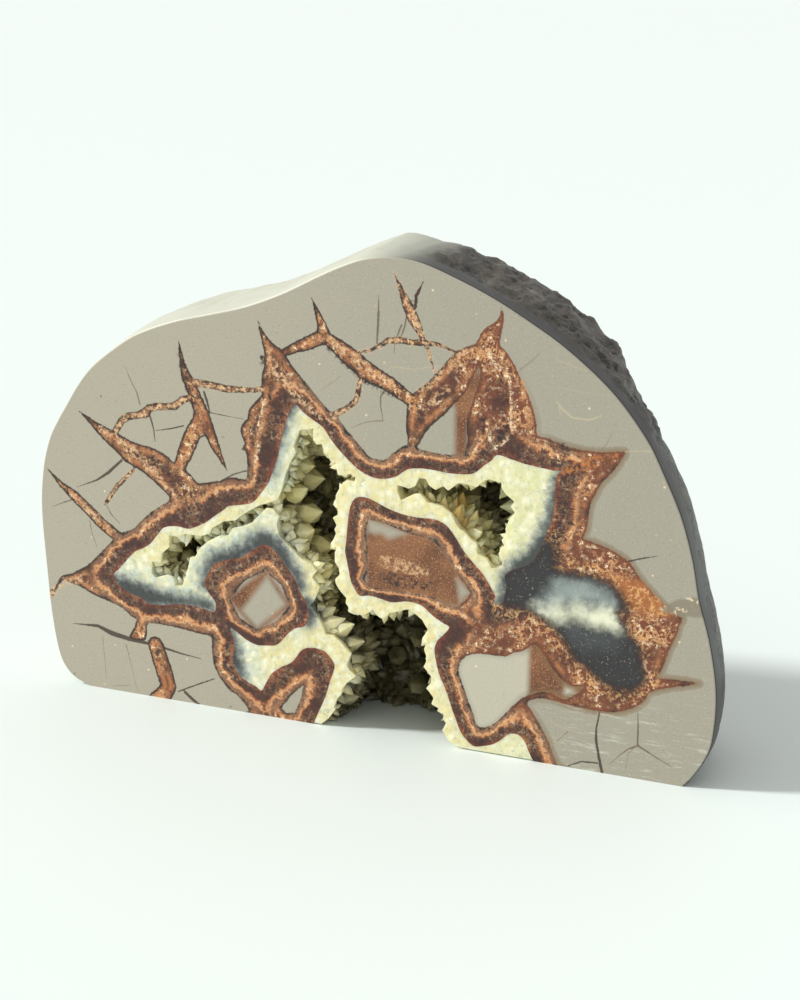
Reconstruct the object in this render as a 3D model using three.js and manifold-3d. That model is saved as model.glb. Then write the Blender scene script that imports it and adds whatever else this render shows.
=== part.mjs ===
// Septarian nodule: a standing slice of a mudstone concretion, sawn and polished flat in front.
// Its hollow opens at the front and at the base, and is lined with one crust of calcite crystals.
// Millimetres, +Z up. While it is built, the polished face lies in y = 0 and looks along -Y,
// depth runs along +Y, and the flat base lies in z = 0.
import * as THREE from 'three';
import { mergeVertices } from 'three/addons/utils/BufferGeometryUtils.js';
import Module from 'manifold-3d';

const wasm = await Module();
wasm.setup();

// Driving dimensions of the stone
const SLICE_DEPTH = 43; // polished face to the back of the dome
const OUTLINE_STEPS = 96; // points around each section
const SECTION_CENTRE = { x: 0, z: 55 }; // the sections close towards this line at the back
const SKIN_START = 8; // polished rim in front of the rough natural skin
const SKIN_FADE = 5; // depth over which the skin turns rough
const SKIN_LUMP = 0.9; // height of the lumps on the rough skin
const ROUGH_TOP = { from: 28, to: 84, fade: 12 }; // roughest part of the skin, in degrees of facing
const QUIET_SKIN = 0.25; // share of the lumps on the rest of the skin
const BACK_START = 30; // depth where the domed back begins
const BACK_FADE = 8; // depth over which the back turns rough
const BACK_LUMP = 1.3; // height of the lumps on the domed back
const DOME_FADE = { from: 0.03, to: 0.4 }; // closing over which the lumps turn to point backwards
const SAW_BLOCK = { width: 400, depth: 200, height: 60 }; // what is sawn off under the base

// Driving dimensions of the hollow and its crust
const HOLLOW_DEPTH = 25; // face to the stone behind the hollow
const CUT_START = -5; // the hollow is cut from this far in front of the face
const CRUST_GAP = 0.3; // clearance between crust and stone
const CRUST_BACK = 3; // crust on the back of the hollow
const CRYSTAL_ROWS = [1.2, 8.2, 15.4]; // depths of the rows of crystals on the walls
const ROW_SPREAD = 4; // how far a crystal strays from its row
const CRYSTAL_SIDES = 6;
const TILT = 0.7; // how far a crystal leans from its wall's normal
const WALL_CRYSTAL = { radius: 2.4, length: 5.2, root: 1.2, step: 6.6, share: 0.62, forward: 0.15 };
const BACK_CRYSTAL = { radius: 3.1, length: 6.4, root: 0.6, step: 6.6, stray: 4.6 };

const STONE = { color: 0xaca894, roughness: 0.42, metalness: 0 };
const CALCITE = { color: 0xe6dfb4, roughness: 0.3, metalness: 0 };

// Outline of the polished face, [x, z], clockwise from the base's left end.
// The last points run below the base and are sawn off with it.
const FACE_OUTLINE = [
  [-78, 0], [-81.5, 1.2], [-84.4, 3.6], [-86.6, 8], [-88.3, 18], [-89.2, 30], [-90, 46], [-89, 57],
  [-86.8, 65], [-84.2, 70], [-81, 75], [-77.7, 80], [-73.5, 85], [-67.3, 90], [-60, 94.7], [-50, 98.6],
  [-40, 101.2], [-30, 103.9], [-20, 107.8], [-10, 112.8], [-4, 115.6], [2, 117.7], [9, 118.6],
  [16, 118], [25, 115], [35, 110.7], [45, 105.3], [52, 101], [60, 94.9], [66, 89.1], [72, 81.4],
  [75.5, 75], [80.2, 65], [83.3, 55], [85.1, 46], [88, 36], [89.9, 25], [89.8, 15], [88.2, 8],
  [83, 0], [76, -5], [60, -9], [30, -12], [-10, -13], [-45, -10], [-66, -5],
];

// How the side wall runs back from the face: grow is the slope at the face, curl bends it inward.
// Keyed by the direction the wall faces, in degrees from +X towards +Z.
const SIDE_WALL = [
  { facing: -90, grow: 0, curl: 0.006 },
  { facing: 10, grow: 0, curl: 0.0107 },
  { facing: 24, grow: 0, curl: 0.0105 },
  { facing: 35, grow: 0, curl: 0.0135 },
  { facing: 45, grow: 0, curl: 0.009 },
  { facing: 53, grow: 0, curl: 0.004 },
  { facing: 62, grow: 0, curl: 0.0016 },
  { facing: 78, grow: 0, curl: 0.0016 },
  { facing: 92, grow: 0.02, curl: 0.0013 },
  { facing: 105, grow: 0.14, curl: 0.0022 },
  { facing: 125, grow: 0.2, curl: 0.0042 },
  { facing: 155, grow: 0.1, curl: 0.0045 },
  { facing: 180, grow: 0.02, curl: 0.005 },
  { facing: 270, grow: 0, curl: 0.006 },
];

// Sections of the stone: depth behind the face, and how far the section has closed to its centre.
const SECTIONS = [
  { depth: 0, close: 0 }, { depth: 4, close: 0 }, { depth: 8, close: 0 }, { depth: 12, close: 0 },
  { depth: 16.5, close: 0 }, { depth: 21, close: 0 }, { depth: 25.5, close: 0 },
  { depth: 30, close: 0.002 }, { depth: 34, close: 0.014 }, { depth: 37, close: 0.045 },
  { depth: 39.5, close: 0.11 }, { depth: 41.2, close: 0.22 }, { depth: 42.3, close: 0.38 },
  { depth: 42.8, close: 0.6 }, { depth: SLICE_DEPTH, close: 0.82 },
];

// Edge of the hollow in the stone, [x, z], clockwise from the base. Two blocks of stone reach into
// it: the diamond, joined at its left corner, and the central block, joined at its lower right.
const HOLLOW_EDGE = [
  [-12.5, -6], [-12.5, 0], [-9, 8], [-6.5, 16], [-7.5, 18], [-9.5, 19.7], [-13, 20], [-17, 17],
  [-21.5, 13.5], [-25.5, 9], [-27, 6.5], [-31, 8.3], [-33.5, 10.1], [-35, 13.3], [-34.3, 17],
  [-35.5, 22], [-31, 19.5], [-28, 18.5], [-22.5, 19.3], [-19, 23], [-14.6, 25.4], [-13.5, 28],
  [-14.2, 31.9], [-17, 37], [-21, 41.9], [-23, 44], [-25.5, 45], [-29, 43], [-32, 40.8],
  [-39.6, 38], [-42.5, 32.8], [-39.5, 27.9], [-40, 25.5], [-47, 26.3], [-59, 25.1], [-64, 27],
  [-67, 28.5], [-69, 31.3], [-67, 33.5], [-62.5, 38.4], [-57.7, 41.3], [-53.5, 46], [-50, 46.7],
  [-45, 47], [-39.5, 50.4], [-35, 53.7], [-28, 55.8], [-24.9, 59.6], [-22.9, 63.5], [-20.4, 72],
  [-18.5, 78], [-16.5, 81.5], [-14.5, 79.7], [-9.1, 76.4], [-5, 71.4], [-2.6, 69.2], [0, 67.1],
  [5, 65.3], [10.5, 66.6], [13, 68.4], [20, 69], [27, 68.8], [30, 69.4], [35.8, 74.4], [42.6, 73],
  [52, 72.3], [50, 67.6], [49.4, 60], [45, 50], [40, 47.1], [38, 45.5], [38.5, 43], [37.5, 38.6],
  [35.4, 38], [35.7, 40], [32.6, 44.9], [27.4, 50.3], [25.3, 53.4], [23, 55.9], [20, 57],
  [12, 57.2], [5.2, 59.3], [0, 60.1], [-1.5, 58.6], [-2.7, 53], [-3.4, 46], [-2, 39], [0.5, 35.3],
  [6, 35.3], [16.5, 35.2], [20, 32.7], [24, 30.6], [22.4, 28.4], [20.2, 24.8], [20.8, 20.5],
  [22.8, 15.4], [26, 7], [28.2, 3], [30.5, 1.3], [35.5, 2.6], [39.5, 5.8], [41.5, 6.2], [44.4, 3],
  [46, 0], [46, -6],
];

// Inner edges of the crust where it meets the open hollow, before the crystals stand on them.
const MAIN_VOID = [
  [-10, -6], [-10, 0], [-6.8, 5], [-4.5, 10.5], [-2.8, 14.5], [-2.5, 19], [-6, 23.5], [-9.5, 25.5],
  [-12.2, 31], [-11.5, 36], [-12, 40], [-17, 44], [-22, 48], [-22.5, 53.5], [-26, 52.5],
  [-31, 49.5], [-37, 46.5], [-43, 43], [-46.5, 39], [-48.5, 33.5], [-51, 31.5], [-55, 32],
  [-57.5, 34], [-56, 37], [-54, 41], [-50, 44.2], [-44, 45.2], [-38, 49], [-31, 52.4], [-25, 55.6],
  [-21.5, 59], [-20, 64], [-18, 69], [-17, 74], [-14.5, 77], [-11, 74], [-8, 70.5], [-4.5, 67],
  [-2, 65.6], [-1.6, 64], [-5, 62.5], [-7, 59], [-6.5, 54], [-7, 49], [-7, 43], [-6.5, 38],
  [-5, 34.5], [-4.5, 31], [-1, 29.6], [3, 31.2], [8, 30.8], [13, 32.4], [17, 31], [18.4, 28],
  [18.3, 23], [18.6, 18], [19.6, 13], [21.5, 9], [23, 5], [26, 0], [26, -6],
];
const SIDE_VOID = [
  [10.6, 63.2], [14, 64.2], [18, 66.2], [23, 66], [29, 66.6], [34, 68.4], [37.5, 67], [40, 64],
  [39.5, 60], [38, 55], [37, 50], [36, 47], [33.5, 48], [30.5, 51.5], [26, 56], [22, 60.2],
  [17, 62], [13, 61.2],
];

// Large crystals that stand out in the hollow: root, direction, length and radius.
const LARGE_CRYSTALS = [
  { root: [-19, 15, 71], toward: [1, -0.5, -0.35], length: 9, radius: 3.4 },
  { root: [-21, 14, 61], toward: [1, -0.5, 0.1], length: 10, radius: 4 },
  { root: [-23, 12, 53], toward: [1, -0.4, 0.35], length: 11, radius: 4 },
  { root: [-21, 10, 44], toward: [1, -0.6, 0.5], length: 10, radius: 4.2 },
  { root: [-14, 9, 36], toward: [1, -0.5, 0.4], length: 7, radius: 3.4 },
  { root: [-11, 5, 24], toward: [0.9, -0.5, 0.5], length: 9, radius: 3.6 },
  { root: [-7, 4, 14], toward: [1, -0.4, 0.1], length: 7, radius: 3 },
  { root: [27, 12, 53], toward: [-0.5, -0.5, 0.8], length: 8, radius: 3.6 },
  { root: [17, 10, 58], toward: [0.2, -0.5, 0.9], length: 7, radius: 3.4 },
  { root: [43, 9, 60], toward: [-0.9, -0.5, 0], length: 8, radius: 4 },
];

// Small helpers
function seededRandom(seed) {
  let state = seed;
  return () => {
    state = (state * 1664525 + 1013904223) % 4294967296;
    return state / 4294967296;
  };
}

function smoothStep(low, high, value) {
  const t = THREE.MathUtils.clamp((value - low) / (high - low), 0, 1);
  return t * t * (3 - 2 * t);
}

// A sum of slanted waves stands in for the stone's irregular lumps, from -1 to 1.
function lumpiness(x, y, z) {
  const broad = Math.sin(0.21 * x + 0.13 * z + 1.3) * Math.sin(0.17 * y - 0.23 * z + 0.4);
  const middle = Math.sin(0.53 * x - 0.31 * z + 0.7 * y) * Math.sin(0.47 * z + 0.39 * x + 2.1);
  const fine = Math.sin(1.31 * x + 0.77 * y) * Math.sin(1.13 * z - 0.91 * y + 0.6);
  return 0.45 * broad + 0.35 * middle + 0.3 * fine;
}

function toSolid(geometry) {
  const bare = geometry.index ? geometry.toNonIndexed() : geometry.clone();
  bare.deleteAttribute('normal');
  bare.deleteAttribute('uv');
  const merged = mergeVertices(bare, 1e-4);
  return new wasm.Manifold(new wasm.Mesh({
    numProp: 3,
    vertProperties: new Float32Array(merged.attributes.position.array),
    triVerts: new Uint32Array(merged.index.array),
  }));
}

function toGeometry(solid) {
  const mesh = solid.getMesh();
  const geometry = new THREE.BufferGeometry();
  geometry.setAttribute('position', new THREE.BufferAttribute(mesh.vertProperties, 3));
  geometry.setIndex(new THREE.BufferAttribute(mesh.triVerts, 1));
  geometry.computeVertexNormals();
  return geometry;
}

// A straight prism of an [x, z] outline between two depths.
function prism(outline, from, to) {
  const shape = new THREE.Shape(outline.map(([x, z]) => new THREE.Vector2(x, z)));
  const geometry = new THREE.ExtrudeGeometry(shape, { depth: to - from, bevelEnabled: false });
  geometry.rotateX(Math.PI / 2);
  geometry.translate(0, to, 0);
  return toSolid(geometry);
}

function signedArea(outline) {
  return outline.reduce((sum, [x, z], i) => {
    const [nextX, nextZ] = outline[(i + 1) % outline.length];
    return sum + (x * nextZ - nextX * z) / 2;
  }, 0);
}

// Unit vector that points into the outline at each of its corners.
function inwardNormals(outline) {
  const turn = signedArea(outline) > 0 ? 1 : -1;
  return outline.map((point, i) => {
    const before = outline[(i + outline.length - 1) % outline.length];
    const after = outline[(i + 1) % outline.length];
    const one = new THREE.Vector2(point[0] - before[0], point[1] - before[1]).normalize();
    const two = new THREE.Vector2(after[0] - point[0], after[1] - point[1]).normalize();
    const along = one.clone().add(two).normalize();
    const reach = 1 / Math.max(0.6, along.dot(two));
    return new THREE.Vector2(-along.y * turn * reach, along.x * turn * reach);
  });
}

function insetOutline(outline, distance) {
  const normals = inwardNormals(outline);
  return outline.map(([x, z], i) => [x + normals[i].x * distance, z + normals[i].y * distance]);
}

// The stone: one loft through its sections, then the flat base and the hollow are cut.
function sideWallAt(facing) {
  const after = SIDE_WALL.findIndex((wall) => wall.facing >= facing);
  const next = SIDE_WALL[Math.max(after, 1)];
  const last = SIDE_WALL[Math.max(after, 1) - 1];
  const t = (facing - last.facing) / (next.facing - last.facing);
  return {
    grow: THREE.MathUtils.lerp(last.grow, next.grow, t),
    curl: THREE.MathUtils.lerp(last.curl, next.curl, t),
  };
}

function stoneSection({ depth, close }, points, normals) {
  return points.map(([x, z], i) => {
    const out = normals[i].clone().normalize().negate();
    const angle = THREE.MathUtils.radToDeg(Math.atan2(out.y, out.x));
    const facing = angle < -90 ? angle + 360 : angle;
    const { grow, curl } = sideWallAt(facing);
    const { from, to, fade } = ROUGH_TOP;
    const roughTop = smoothStep(from, from + fade, facing) * (1 - smoothStep(to - fade, to, facing));
    const skin = smoothStep(SKIN_START, SKIN_START + SKIN_FADE, depth) * (QUIET_SKIN + roughTop);
    const back = smoothStep(BACK_START, BACK_START + BACK_FADE, depth);
    const lump = lumpiness(x, depth, z) * Math.max(skin * SKIN_LUMP, back * BACK_LUMP);
    const move = grow * depth - curl * depth * depth + lump;
    const placeX = THREE.MathUtils.lerp(x + out.x * move, SECTION_CENTRE.x, close);
    const placeZ = THREE.MathUtils.lerp(z + out.y * move, SECTION_CENTRE.z, close);
    const dome = smoothStep(DOME_FADE.from, DOME_FADE.to, close);
    const domeLump = dome * BACK_LUMP * lumpiness(placeX, SLICE_DEPTH, placeZ);
    return new THREE.Vector3(placeX, depth + domeLump, placeZ);
  });
}

function loft(sections) {
  const count = sections[0].length;
  const triangles = [];
  const addFan = (section, middle, flip) => {
    for (let i = 0; i < count; i += 1) {
      const here = section[i];
      const next = section[(i + 1) % count];
      triangles.push(...(flip ? [next, here, middle] : [here, next, middle]));
    }
  };
  for (let row = 0; row + 1 < sections.length; row += 1) {
    for (let i = 0; i < count; i += 1) {
      const j = (i + 1) % count;
      const [near, far] = [sections[row], sections[row + 1]];
      triangles.push(near[i], far[j], far[i], near[i], near[j], far[j]);
    }
  }
  const front = sections[0];
  const back = sections.at(-1);
  const centre = (section) => section
    .reduce((sum, point) => sum.add(point), new THREE.Vector3())
    .divideScalar(count);
  addFan(front, centre(front), true);
  addFan(back, centre(back), false);
  return new THREE.BufferGeometry().setFromPoints(triangles);
}

// A block that takes away everything lower than the given height.
function blockBelow(height) {
  const block = new THREE.BoxGeometry(SAW_BLOCK.width, SAW_BLOCK.depth, SAW_BLOCK.height);
  block.translate(0, 0, height - SAW_BLOCK.height / 2);
  return toSolid(block);
}

function makeStone() {
  const curve = new THREE.CatmullRomCurve3(
    FACE_OUTLINE.map(([x, z]) => new THREE.Vector3(x, 0, z)),
    true,
    'centripetal',
  );
  const points = curve.getSpacedPoints(OUTLINE_STEPS).slice(0, -1).map((p) => [p.x, p.z]);
  const normals = inwardNormals(points);
  const body = toSolid(loft(SECTIONS.map((section) => stoneSection(section, points, normals))));
  return body
    .subtract(blockBelow(0))
    .subtract(prism(HOLLOW_EDGE, CUT_START, HOLLOW_DEPTH));
}

// One dogtooth crystal: a six-sided point from its root along a direction.
function crystal(root, toward, length, radius, spin) {
  const geometry = new THREE.ConeGeometry(radius, length, CRYSTAL_SIDES);
  geometry.rotateY(spin);
  geometry.translate(0, length / 2, 0);
  const up = new THREE.Vector3(0, 1, 0);
  geometry.applyQuaternion(new THREE.Quaternion().setFromUnitVectors(up, toward.clone().normalize()));
  geometry.translate(root.x, root.y, root.z);
  return toSolid(geometry);
}

function isInside(outline, x, z) {
  let inside = false;
  outline.forEach(([ax, az], i) => {
    const [bx, bz] = outline[(i + 1) % outline.length];
    if ((az > z) !== (bz > z) && x < ax + ((z - az) * (bx - ax)) / (bz - az)) {
      inside = !inside;
    }
  });
  return inside;
}

// Rows of crystals that stand on the walls of one void and point into it.
function wallCrystals(outline, random) {
  const crystals = [];
  const normals = inwardNormals(outline);
  const { radius, length, root, step, share, forward } = WALL_CRYSTAL;
  outline.forEach(([x, z], i) => {
    const [nextX, nextZ] = outline[(i + 1) % outline.length];
    const count = Math.max(1, Math.round(Math.hypot(nextX - x, nextZ - z) / step));
    if (z < 0 || nextZ < 0) {
      return;
    }
    for (let k = 0; k < count; k += 1) {
      for (const row of CRYSTAL_ROWS) {
        const t = (k + random()) / count;
        const inward = normals[i].clone().lerp(normals[(i + 1) % outline.length], t).normalize();
        const size = 0.6 + 0.6 * random();
        const place = new THREE.Vector3(
          THREE.MathUtils.lerp(x, nextX, t) - inward.x * root,
          Math.max(CRUST_GAP, row + ROW_SPREAD * (random() - 0.5)),
          THREE.MathUtils.lerp(z, nextZ, t) - inward.y * root,
        );
        const toward = new THREE.Vector3(
          inward.x + TILT * (random() - 0.5),
          -forward + TILT * (random() - 0.5),
          inward.y + TILT * (random() - 0.5),
        );
        if (random() < share) {
          crystals.push(crystal(place, toward, length * size, radius * size, random()));
        }
      }
    }
  });
  return crystals;
}

// Crystals that stand on the back of one void.
function backCrystals(outline, random) {
  const crystals = [];
  const { radius, length, root, step, stray } = BACK_CRYSTAL;
  const xs = outline.map(([x]) => x);
  const zs = outline.map(([, z]) => z);
  for (let x = Math.min(...xs); x < Math.max(...xs); x += step) {
    for (let z = radius; z < Math.max(...zs); z += step) {
      const rootX = x + stray * (random() - 0.5);
      const rootZ = z + stray * (random() - 0.5);
      const toward = new THREE.Vector3(TILT * (random() - 0.5), -1, TILT * (random() - 0.5));
      const size = 0.65 + 0.5 * random();
      if (isInside(outline, rootX, rootZ)) {
        const place = new THREE.Vector3(rootX, HOLLOW_DEPTH - CRUST_BACK + root, rootZ);
        crystals.push(crystal(place, toward, length * size, radius * size, random()));
      }
    }
  }
  return crystals;
}

function makeCrust() {
  const random = seededRandom(17);
  const room = prism(insetOutline(HOLLOW_EDGE, CRUST_GAP), 0, HOLLOW_DEPTH - CRUST_GAP);
  const crustFloor = HOLLOW_DEPTH - CRUST_BACK;
  let crust = room
    .subtract(prism(MAIN_VOID, CUT_START, crustFloor))
    .subtract(prism(SIDE_VOID, CUT_START, crustFloor));
  const crystals = [
    ...wallCrystals(MAIN_VOID, random),
    ...wallCrystals(SIDE_VOID, random),
    ...backCrystals(MAIN_VOID, random),
    ...backCrystals(SIDE_VOID, random),
    ...LARGE_CRYSTALS.map(({ root, toward, length, radius }) => crystal(
      new THREE.Vector3(...root), new THREE.Vector3(...toward), length, radius, random(),
    )),
  ];
  for (const one of crystals) {
    crust = crust.add(one);
  }
  return crust.intersect(room).subtract(blockBelow(CRUST_GAP));
}

function namedMesh(name, solid, finish) {
  const mesh = new THREE.Mesh(toGeometry(solid), new THREE.MeshStandardMaterial(finish));
  mesh.name = name;
  return mesh;
}

const group = new THREE.Group();
group.add(namedMesh('nodule', makeStone(), STONE));
group.add(namedMesh('crystal_crust', makeCrust(), CALCITE));

// The origin is the middle of the base.
const extent = new THREE.Box3().setFromObject(group);
const middle = extent.getCenter(new THREE.Vector3());
group.position.set(-middle.x, -middle.y, -extent.min.z);

export default group;
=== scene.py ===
import math
from functools import reduce

import bmesh
import bpy
import numpy as np
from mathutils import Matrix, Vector, kdtree, noise
from mathutils.geometry import delaunay_2d_cdt


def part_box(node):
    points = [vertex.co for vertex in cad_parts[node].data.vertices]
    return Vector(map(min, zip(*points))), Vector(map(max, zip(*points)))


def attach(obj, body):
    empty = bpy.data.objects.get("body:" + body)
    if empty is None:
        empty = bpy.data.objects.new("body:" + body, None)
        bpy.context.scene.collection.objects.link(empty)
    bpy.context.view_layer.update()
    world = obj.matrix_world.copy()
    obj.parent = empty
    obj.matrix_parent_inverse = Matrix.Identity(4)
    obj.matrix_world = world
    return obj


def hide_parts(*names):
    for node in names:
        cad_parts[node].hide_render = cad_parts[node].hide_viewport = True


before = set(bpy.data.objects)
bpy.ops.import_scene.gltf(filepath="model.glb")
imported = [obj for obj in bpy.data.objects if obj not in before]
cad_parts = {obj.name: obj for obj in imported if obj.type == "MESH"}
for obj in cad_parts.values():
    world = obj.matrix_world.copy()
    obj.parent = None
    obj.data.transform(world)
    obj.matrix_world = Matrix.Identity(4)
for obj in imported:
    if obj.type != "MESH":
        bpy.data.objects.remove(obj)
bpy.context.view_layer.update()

stoneLow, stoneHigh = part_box("nodule")
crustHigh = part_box("crystal_crust")[1]

mm = 0.001
facePlane = stoneLow[1]                  # the polished face lies here and looks along -Y
hollowDepth = (crustHigh[1] + 0.3 * mm - facePlane) / mm     # to the stone behind the hollow
sliceDepth = (stoneHigh[1] - facePlane) / mm


# The face is drawn in millimetres: x along the base from its middle, z up, depth behind the face

def placed(x, depth, z):
    return (x * mm, facePlane + depth * mm, z * mm)


def rgb(*parts):                         # a colour as paint charts give it, 0 to 255
    return tuple(c / 255 / 12.92 if c <= 10 else ((c / 255 + 0.055) / 1.055) ** 2.4 for c in parts) + (1.0,)


# Outlines read off the photographed face, in millimetres

faceOutline = [
    (-78, 0), (-81.5, 1.2), (-84.4, 3.6), (-86.6, 8), (-88.3, 18), (-89.2, 30), (-90, 46), (-89, 57),
    (-86.8, 65), (-84.2, 70), (-81, 75), (-77.7, 80), (-73.5, 85), (-67.3, 90), (-60, 94.7), (-50, 98.6),
    (-40, 101.2), (-30, 103.9), (-20, 107.8), (-10, 112.8), (-4, 115.6), (2, 117.7), (9, 118.6),
    (16, 118), (25, 115), (35, 110.7), (45, 105.3), (52, 101), (60, 94.9), (66, 89.1), (72, 81.4),
    (75.5, 75), (80.2, 65), (83.3, 55), (85.1, 46), (88, 36), (89.9, 25), (89.8, 15), (88.2, 8), (83, 0),
    (76, -5), (60, -9), (30, -12), (-10, -13), (-45, -10), (-66, -5)]

hollowEdge = [
    (-12.5, 0), (-11, 3.5), (-9, 8), (-7.8, 12), (-6.5, 16), (-7.5, 18), (-9.5, 19.7), (-13, 20),
    (-15.5, 19), (-17, 17), (-18.5, 15.2), (-21.5, 13.5), (-24, 11.5), (-25.5, 9), (-27, 6.5),
    (-28.5, 7.4), (-31, 8.3), (-33.5, 10.1), (-35, 13.3), (-34.3, 17), (-34.8, 19.7), (-35.5, 22),
    (-33.5, 21), (-31, 19.5), (-28, 18.5), (-25, 18.8), (-22.5, 19.3), (-20.5, 21.2), (-19, 23),
    (-17, 24.5), (-14.6, 25.4), (-13.5, 28), (-13.8, 30.2), (-14.2, 31.9), (-16, 34.5), (-17, 37),
    (-19, 39.5), (-21, 41.9), (-23, 44), (-25.5, 45), (-29, 43), (-32, 40.8), (-36, 39.7), (-39.6, 38),
    (-41.4, 35.4), (-42.5, 32.8), (-41.4, 30.4), (-39.5, 27.9), (-40, 25.5), (-43, 26), (-47, 26.3),
    (-51, 26), (-55, 25.2), (-59, 25.1), (-61, 26.3), (-64, 27), (-67, 28.5), (-69, 31.3), (-67, 33.5),
    (-65, 35.8), (-62.5, 38.4), (-60, 39.7), (-57.7, 41.3), (-55.5, 44), (-53.5, 46), (-50, 46.7),
    (-47, 46.4), (-45, 47), (-42, 48.5), (-39.5, 50.4), (-36.5, 52.6), (-35, 53.7), (-30, 54.8),
    (-28, 55.8), (-26.5, 57.5), (-24.9, 59.6), (-23.9, 61), (-22.9, 63.5), (-22, 66), (-21, 69),
    (-20.4, 72), (-19.5, 75), (-18.5, 78), (-17.6, 80), (-16.5, 81.5), (-14.5, 79.7), (-12, 78.1),
    (-9.1, 76.4), (-7.3, 74), (-5, 71.4), (-2.6, 69.2), (0, 67.1), (2.5, 65.9), (5, 65.3), (8, 65.6),
    (10.5, 66.6), (13, 68.4), (16, 69), (20, 69), (23, 68.7), (27, 68.8), (30, 69.4), (32.6, 71.6),
    (34.2, 72.8), (35.8, 74.4), (39, 73.8), (42.6, 73), (46, 72.6), (50, 72.2), (52, 72.3), (50.5, 71.3),
    (50, 67.6), (50, 64), (49.4, 60), (48.2, 57.2), (47.6, 55), (46.3, 52.4), (45, 50), (43, 48.4),
    (40, 47.1), (38, 45.5), (38.5, 43), (38, 40.5), (37.5, 38.6), (35.4, 38), (35.7, 40), (34.4, 42.3),
    (32.6, 44.9), (29.8, 47.7), (27.4, 50.3), (25.3, 53.4), (23, 55.9), (20, 57), (16, 56.9), (12, 57.2),
    (8, 58.2), (5.2, 59.3), (2.5, 60.2), (0, 60.1), (-1.5, 58.6), (-2.3, 56), (-2.7, 53), (-3.1, 49),
    (-3.4, 46), (-2.6, 42), (-2, 39), (-0.9, 36.7), (0.5, 35.3), (3, 35.7), (6, 35.3), (9, 34.8),
    (13, 35.6), (16.5, 35.2), (18.4, 33.9), (20, 32.7), (22.5, 31.4), (24, 30.6), (22.4, 28.4),
    (21, 26.9), (20.2, 24.8), (20.3, 23), (20.8, 20.5), (21.6, 17.9), (22.8, 15.4), (24, 12.3),
    (24.8, 10), (26, 7), (26.9, 4.8), (28.2, 3), (30.5, 1.3), (33, 1.7), (35.5, 2.6), (37.5, 4),
    (39.5, 5.8), (41.5, 6.2), (43.3, 5.2), (44.4, 3), (45.4, 0.9), (46, 0)]

# Toothed inner edge of the cut crystals, round the tall void and the side void
tallVoid = [                         # from the left foot of the arch to its right foot
    (-10.3, 0.3), (-8.4, 2), (-6.5, 4.7), (-6.8, 5.5), (-6, 7.5), (-4.7, 9.1), (-4.5, 10.5), (-3, 12.5),
    (-0.7, 14.4), (-2.8, 16), (-3.2, 17), (-2.7, 18.5), (-2, 20), (-3.2, 21), (-5, 22.7), (-7, 24),
    (-9, 24), (-9.5, 25.5), (-11, 28.5), (-13, 31), (-12.2, 32), (-11.2, 34), (-10.5, 35.9),
    (-11.8, 37.3), (-12.5, 38.3), (-11.2, 40), (-12.5, 41.5), (-15, 42.4), (-17, 44), (-19.3, 46),
    (-21.3, 47.8), (-22, 50.5), (-21.3, 52.7), (-23, 54.4), (-24.7, 54.4), (-26.6, 52.5), (-28.5, 50.4),
    (-31, 49.1), (-34.2, 48.1), (-35.5, 46), (-38, 45.7), (-41, 44), (-43.4, 42), (-45, 39.3),
    (-46.4, 39), (-46.9, 37.1), (-47.4, 34.9), (-48.2, 32.9), (-49, 31.1), (-51, 31), (-51.5, 33),
    (-53, 33.5), (-55, 32.9), (-56.6, 32.2), (-57.8, 33.4), (-57.5, 36.5), (-55, 36.5), (-54.6, 39),
    (-52.3, 41), (-52.4, 44), (-49.8, 43.9), (-47.6, 45), (-43, 45), (-40.6, 46), (-40, 47.4),
    (-36.6, 49.6), (-33.2, 50.3), (-31.8, 51.6), (-29.3, 53.3), (-27, 54.7), (-23.7, 56), (-21.5, 57),
    (-20.2, 60.3), (-19.4, 63.5), (-18, 66.7), (-16.5, 69.2), (-17, 71), (-15.4, 75), (-11.7, 75.7),
    (-11.7, 73), (-10.9, 71.9), (-9.4, 72.2), (-8.9, 70.2), (-7.6, 69.6), (-7.2, 68.1), (-5.8, 68.3),
    (-5.2, 64.9), (-3.5, 65.2), (-1.7, 65.7), (-1.3, 65), (-0.5, 65.1), (-0.8, 63.8), (-2.6, 63.9),
    (-3.8, 63.4), (-5.8, 60), (-5.9, 58.3), (-5.2, 56.5), (-5.4, 55), (-6.7, 54.2), (-5.6, 52.4),
    (-6.3, 51.2), (-5.8, 50.3), (-6.7, 48.4), (-5.7, 46.3), (-6.2, 45.5), (-6.2, 43), (-5.2, 41.7),
    (-4.9, 40), (-6.1, 38.8), (-6.1, 37.7), (-5, 36), (-4, 35), (-3.2, 34.3), (-3.4, 32.9), (-2.6, 32),
    (-2.8, 30.8), (-1, 30.3), (1.1, 30.5), (2.6, 31.2), (3.9, 32.2), (4.8, 31.1), (6, 30.3), (7.4, 30.8),
    (8.2, 31.9), (10.6, 32.7), (13.2, 33.7), (15, 32.8), (16.9, 31.5), (18, 29.8), (18.5, 29.2),
    (17.8, 28.2), (17.6, 27), (18.2, 26), (17.4, 24.1), (18, 22.5), (18, 20.9), (17.3, 19.6),
    (19.4, 17.4), (19.3, 15.8), (18, 14.2), (19, 13.2), (20, 12), (19.4, 10.3), (22.1, 9.2), (22.7, 8.3),
    (22.5, 7), (23.3, 6), (22.3, 4), (24, 1.5), (26, 0.7), (27, 0.3)]
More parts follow.
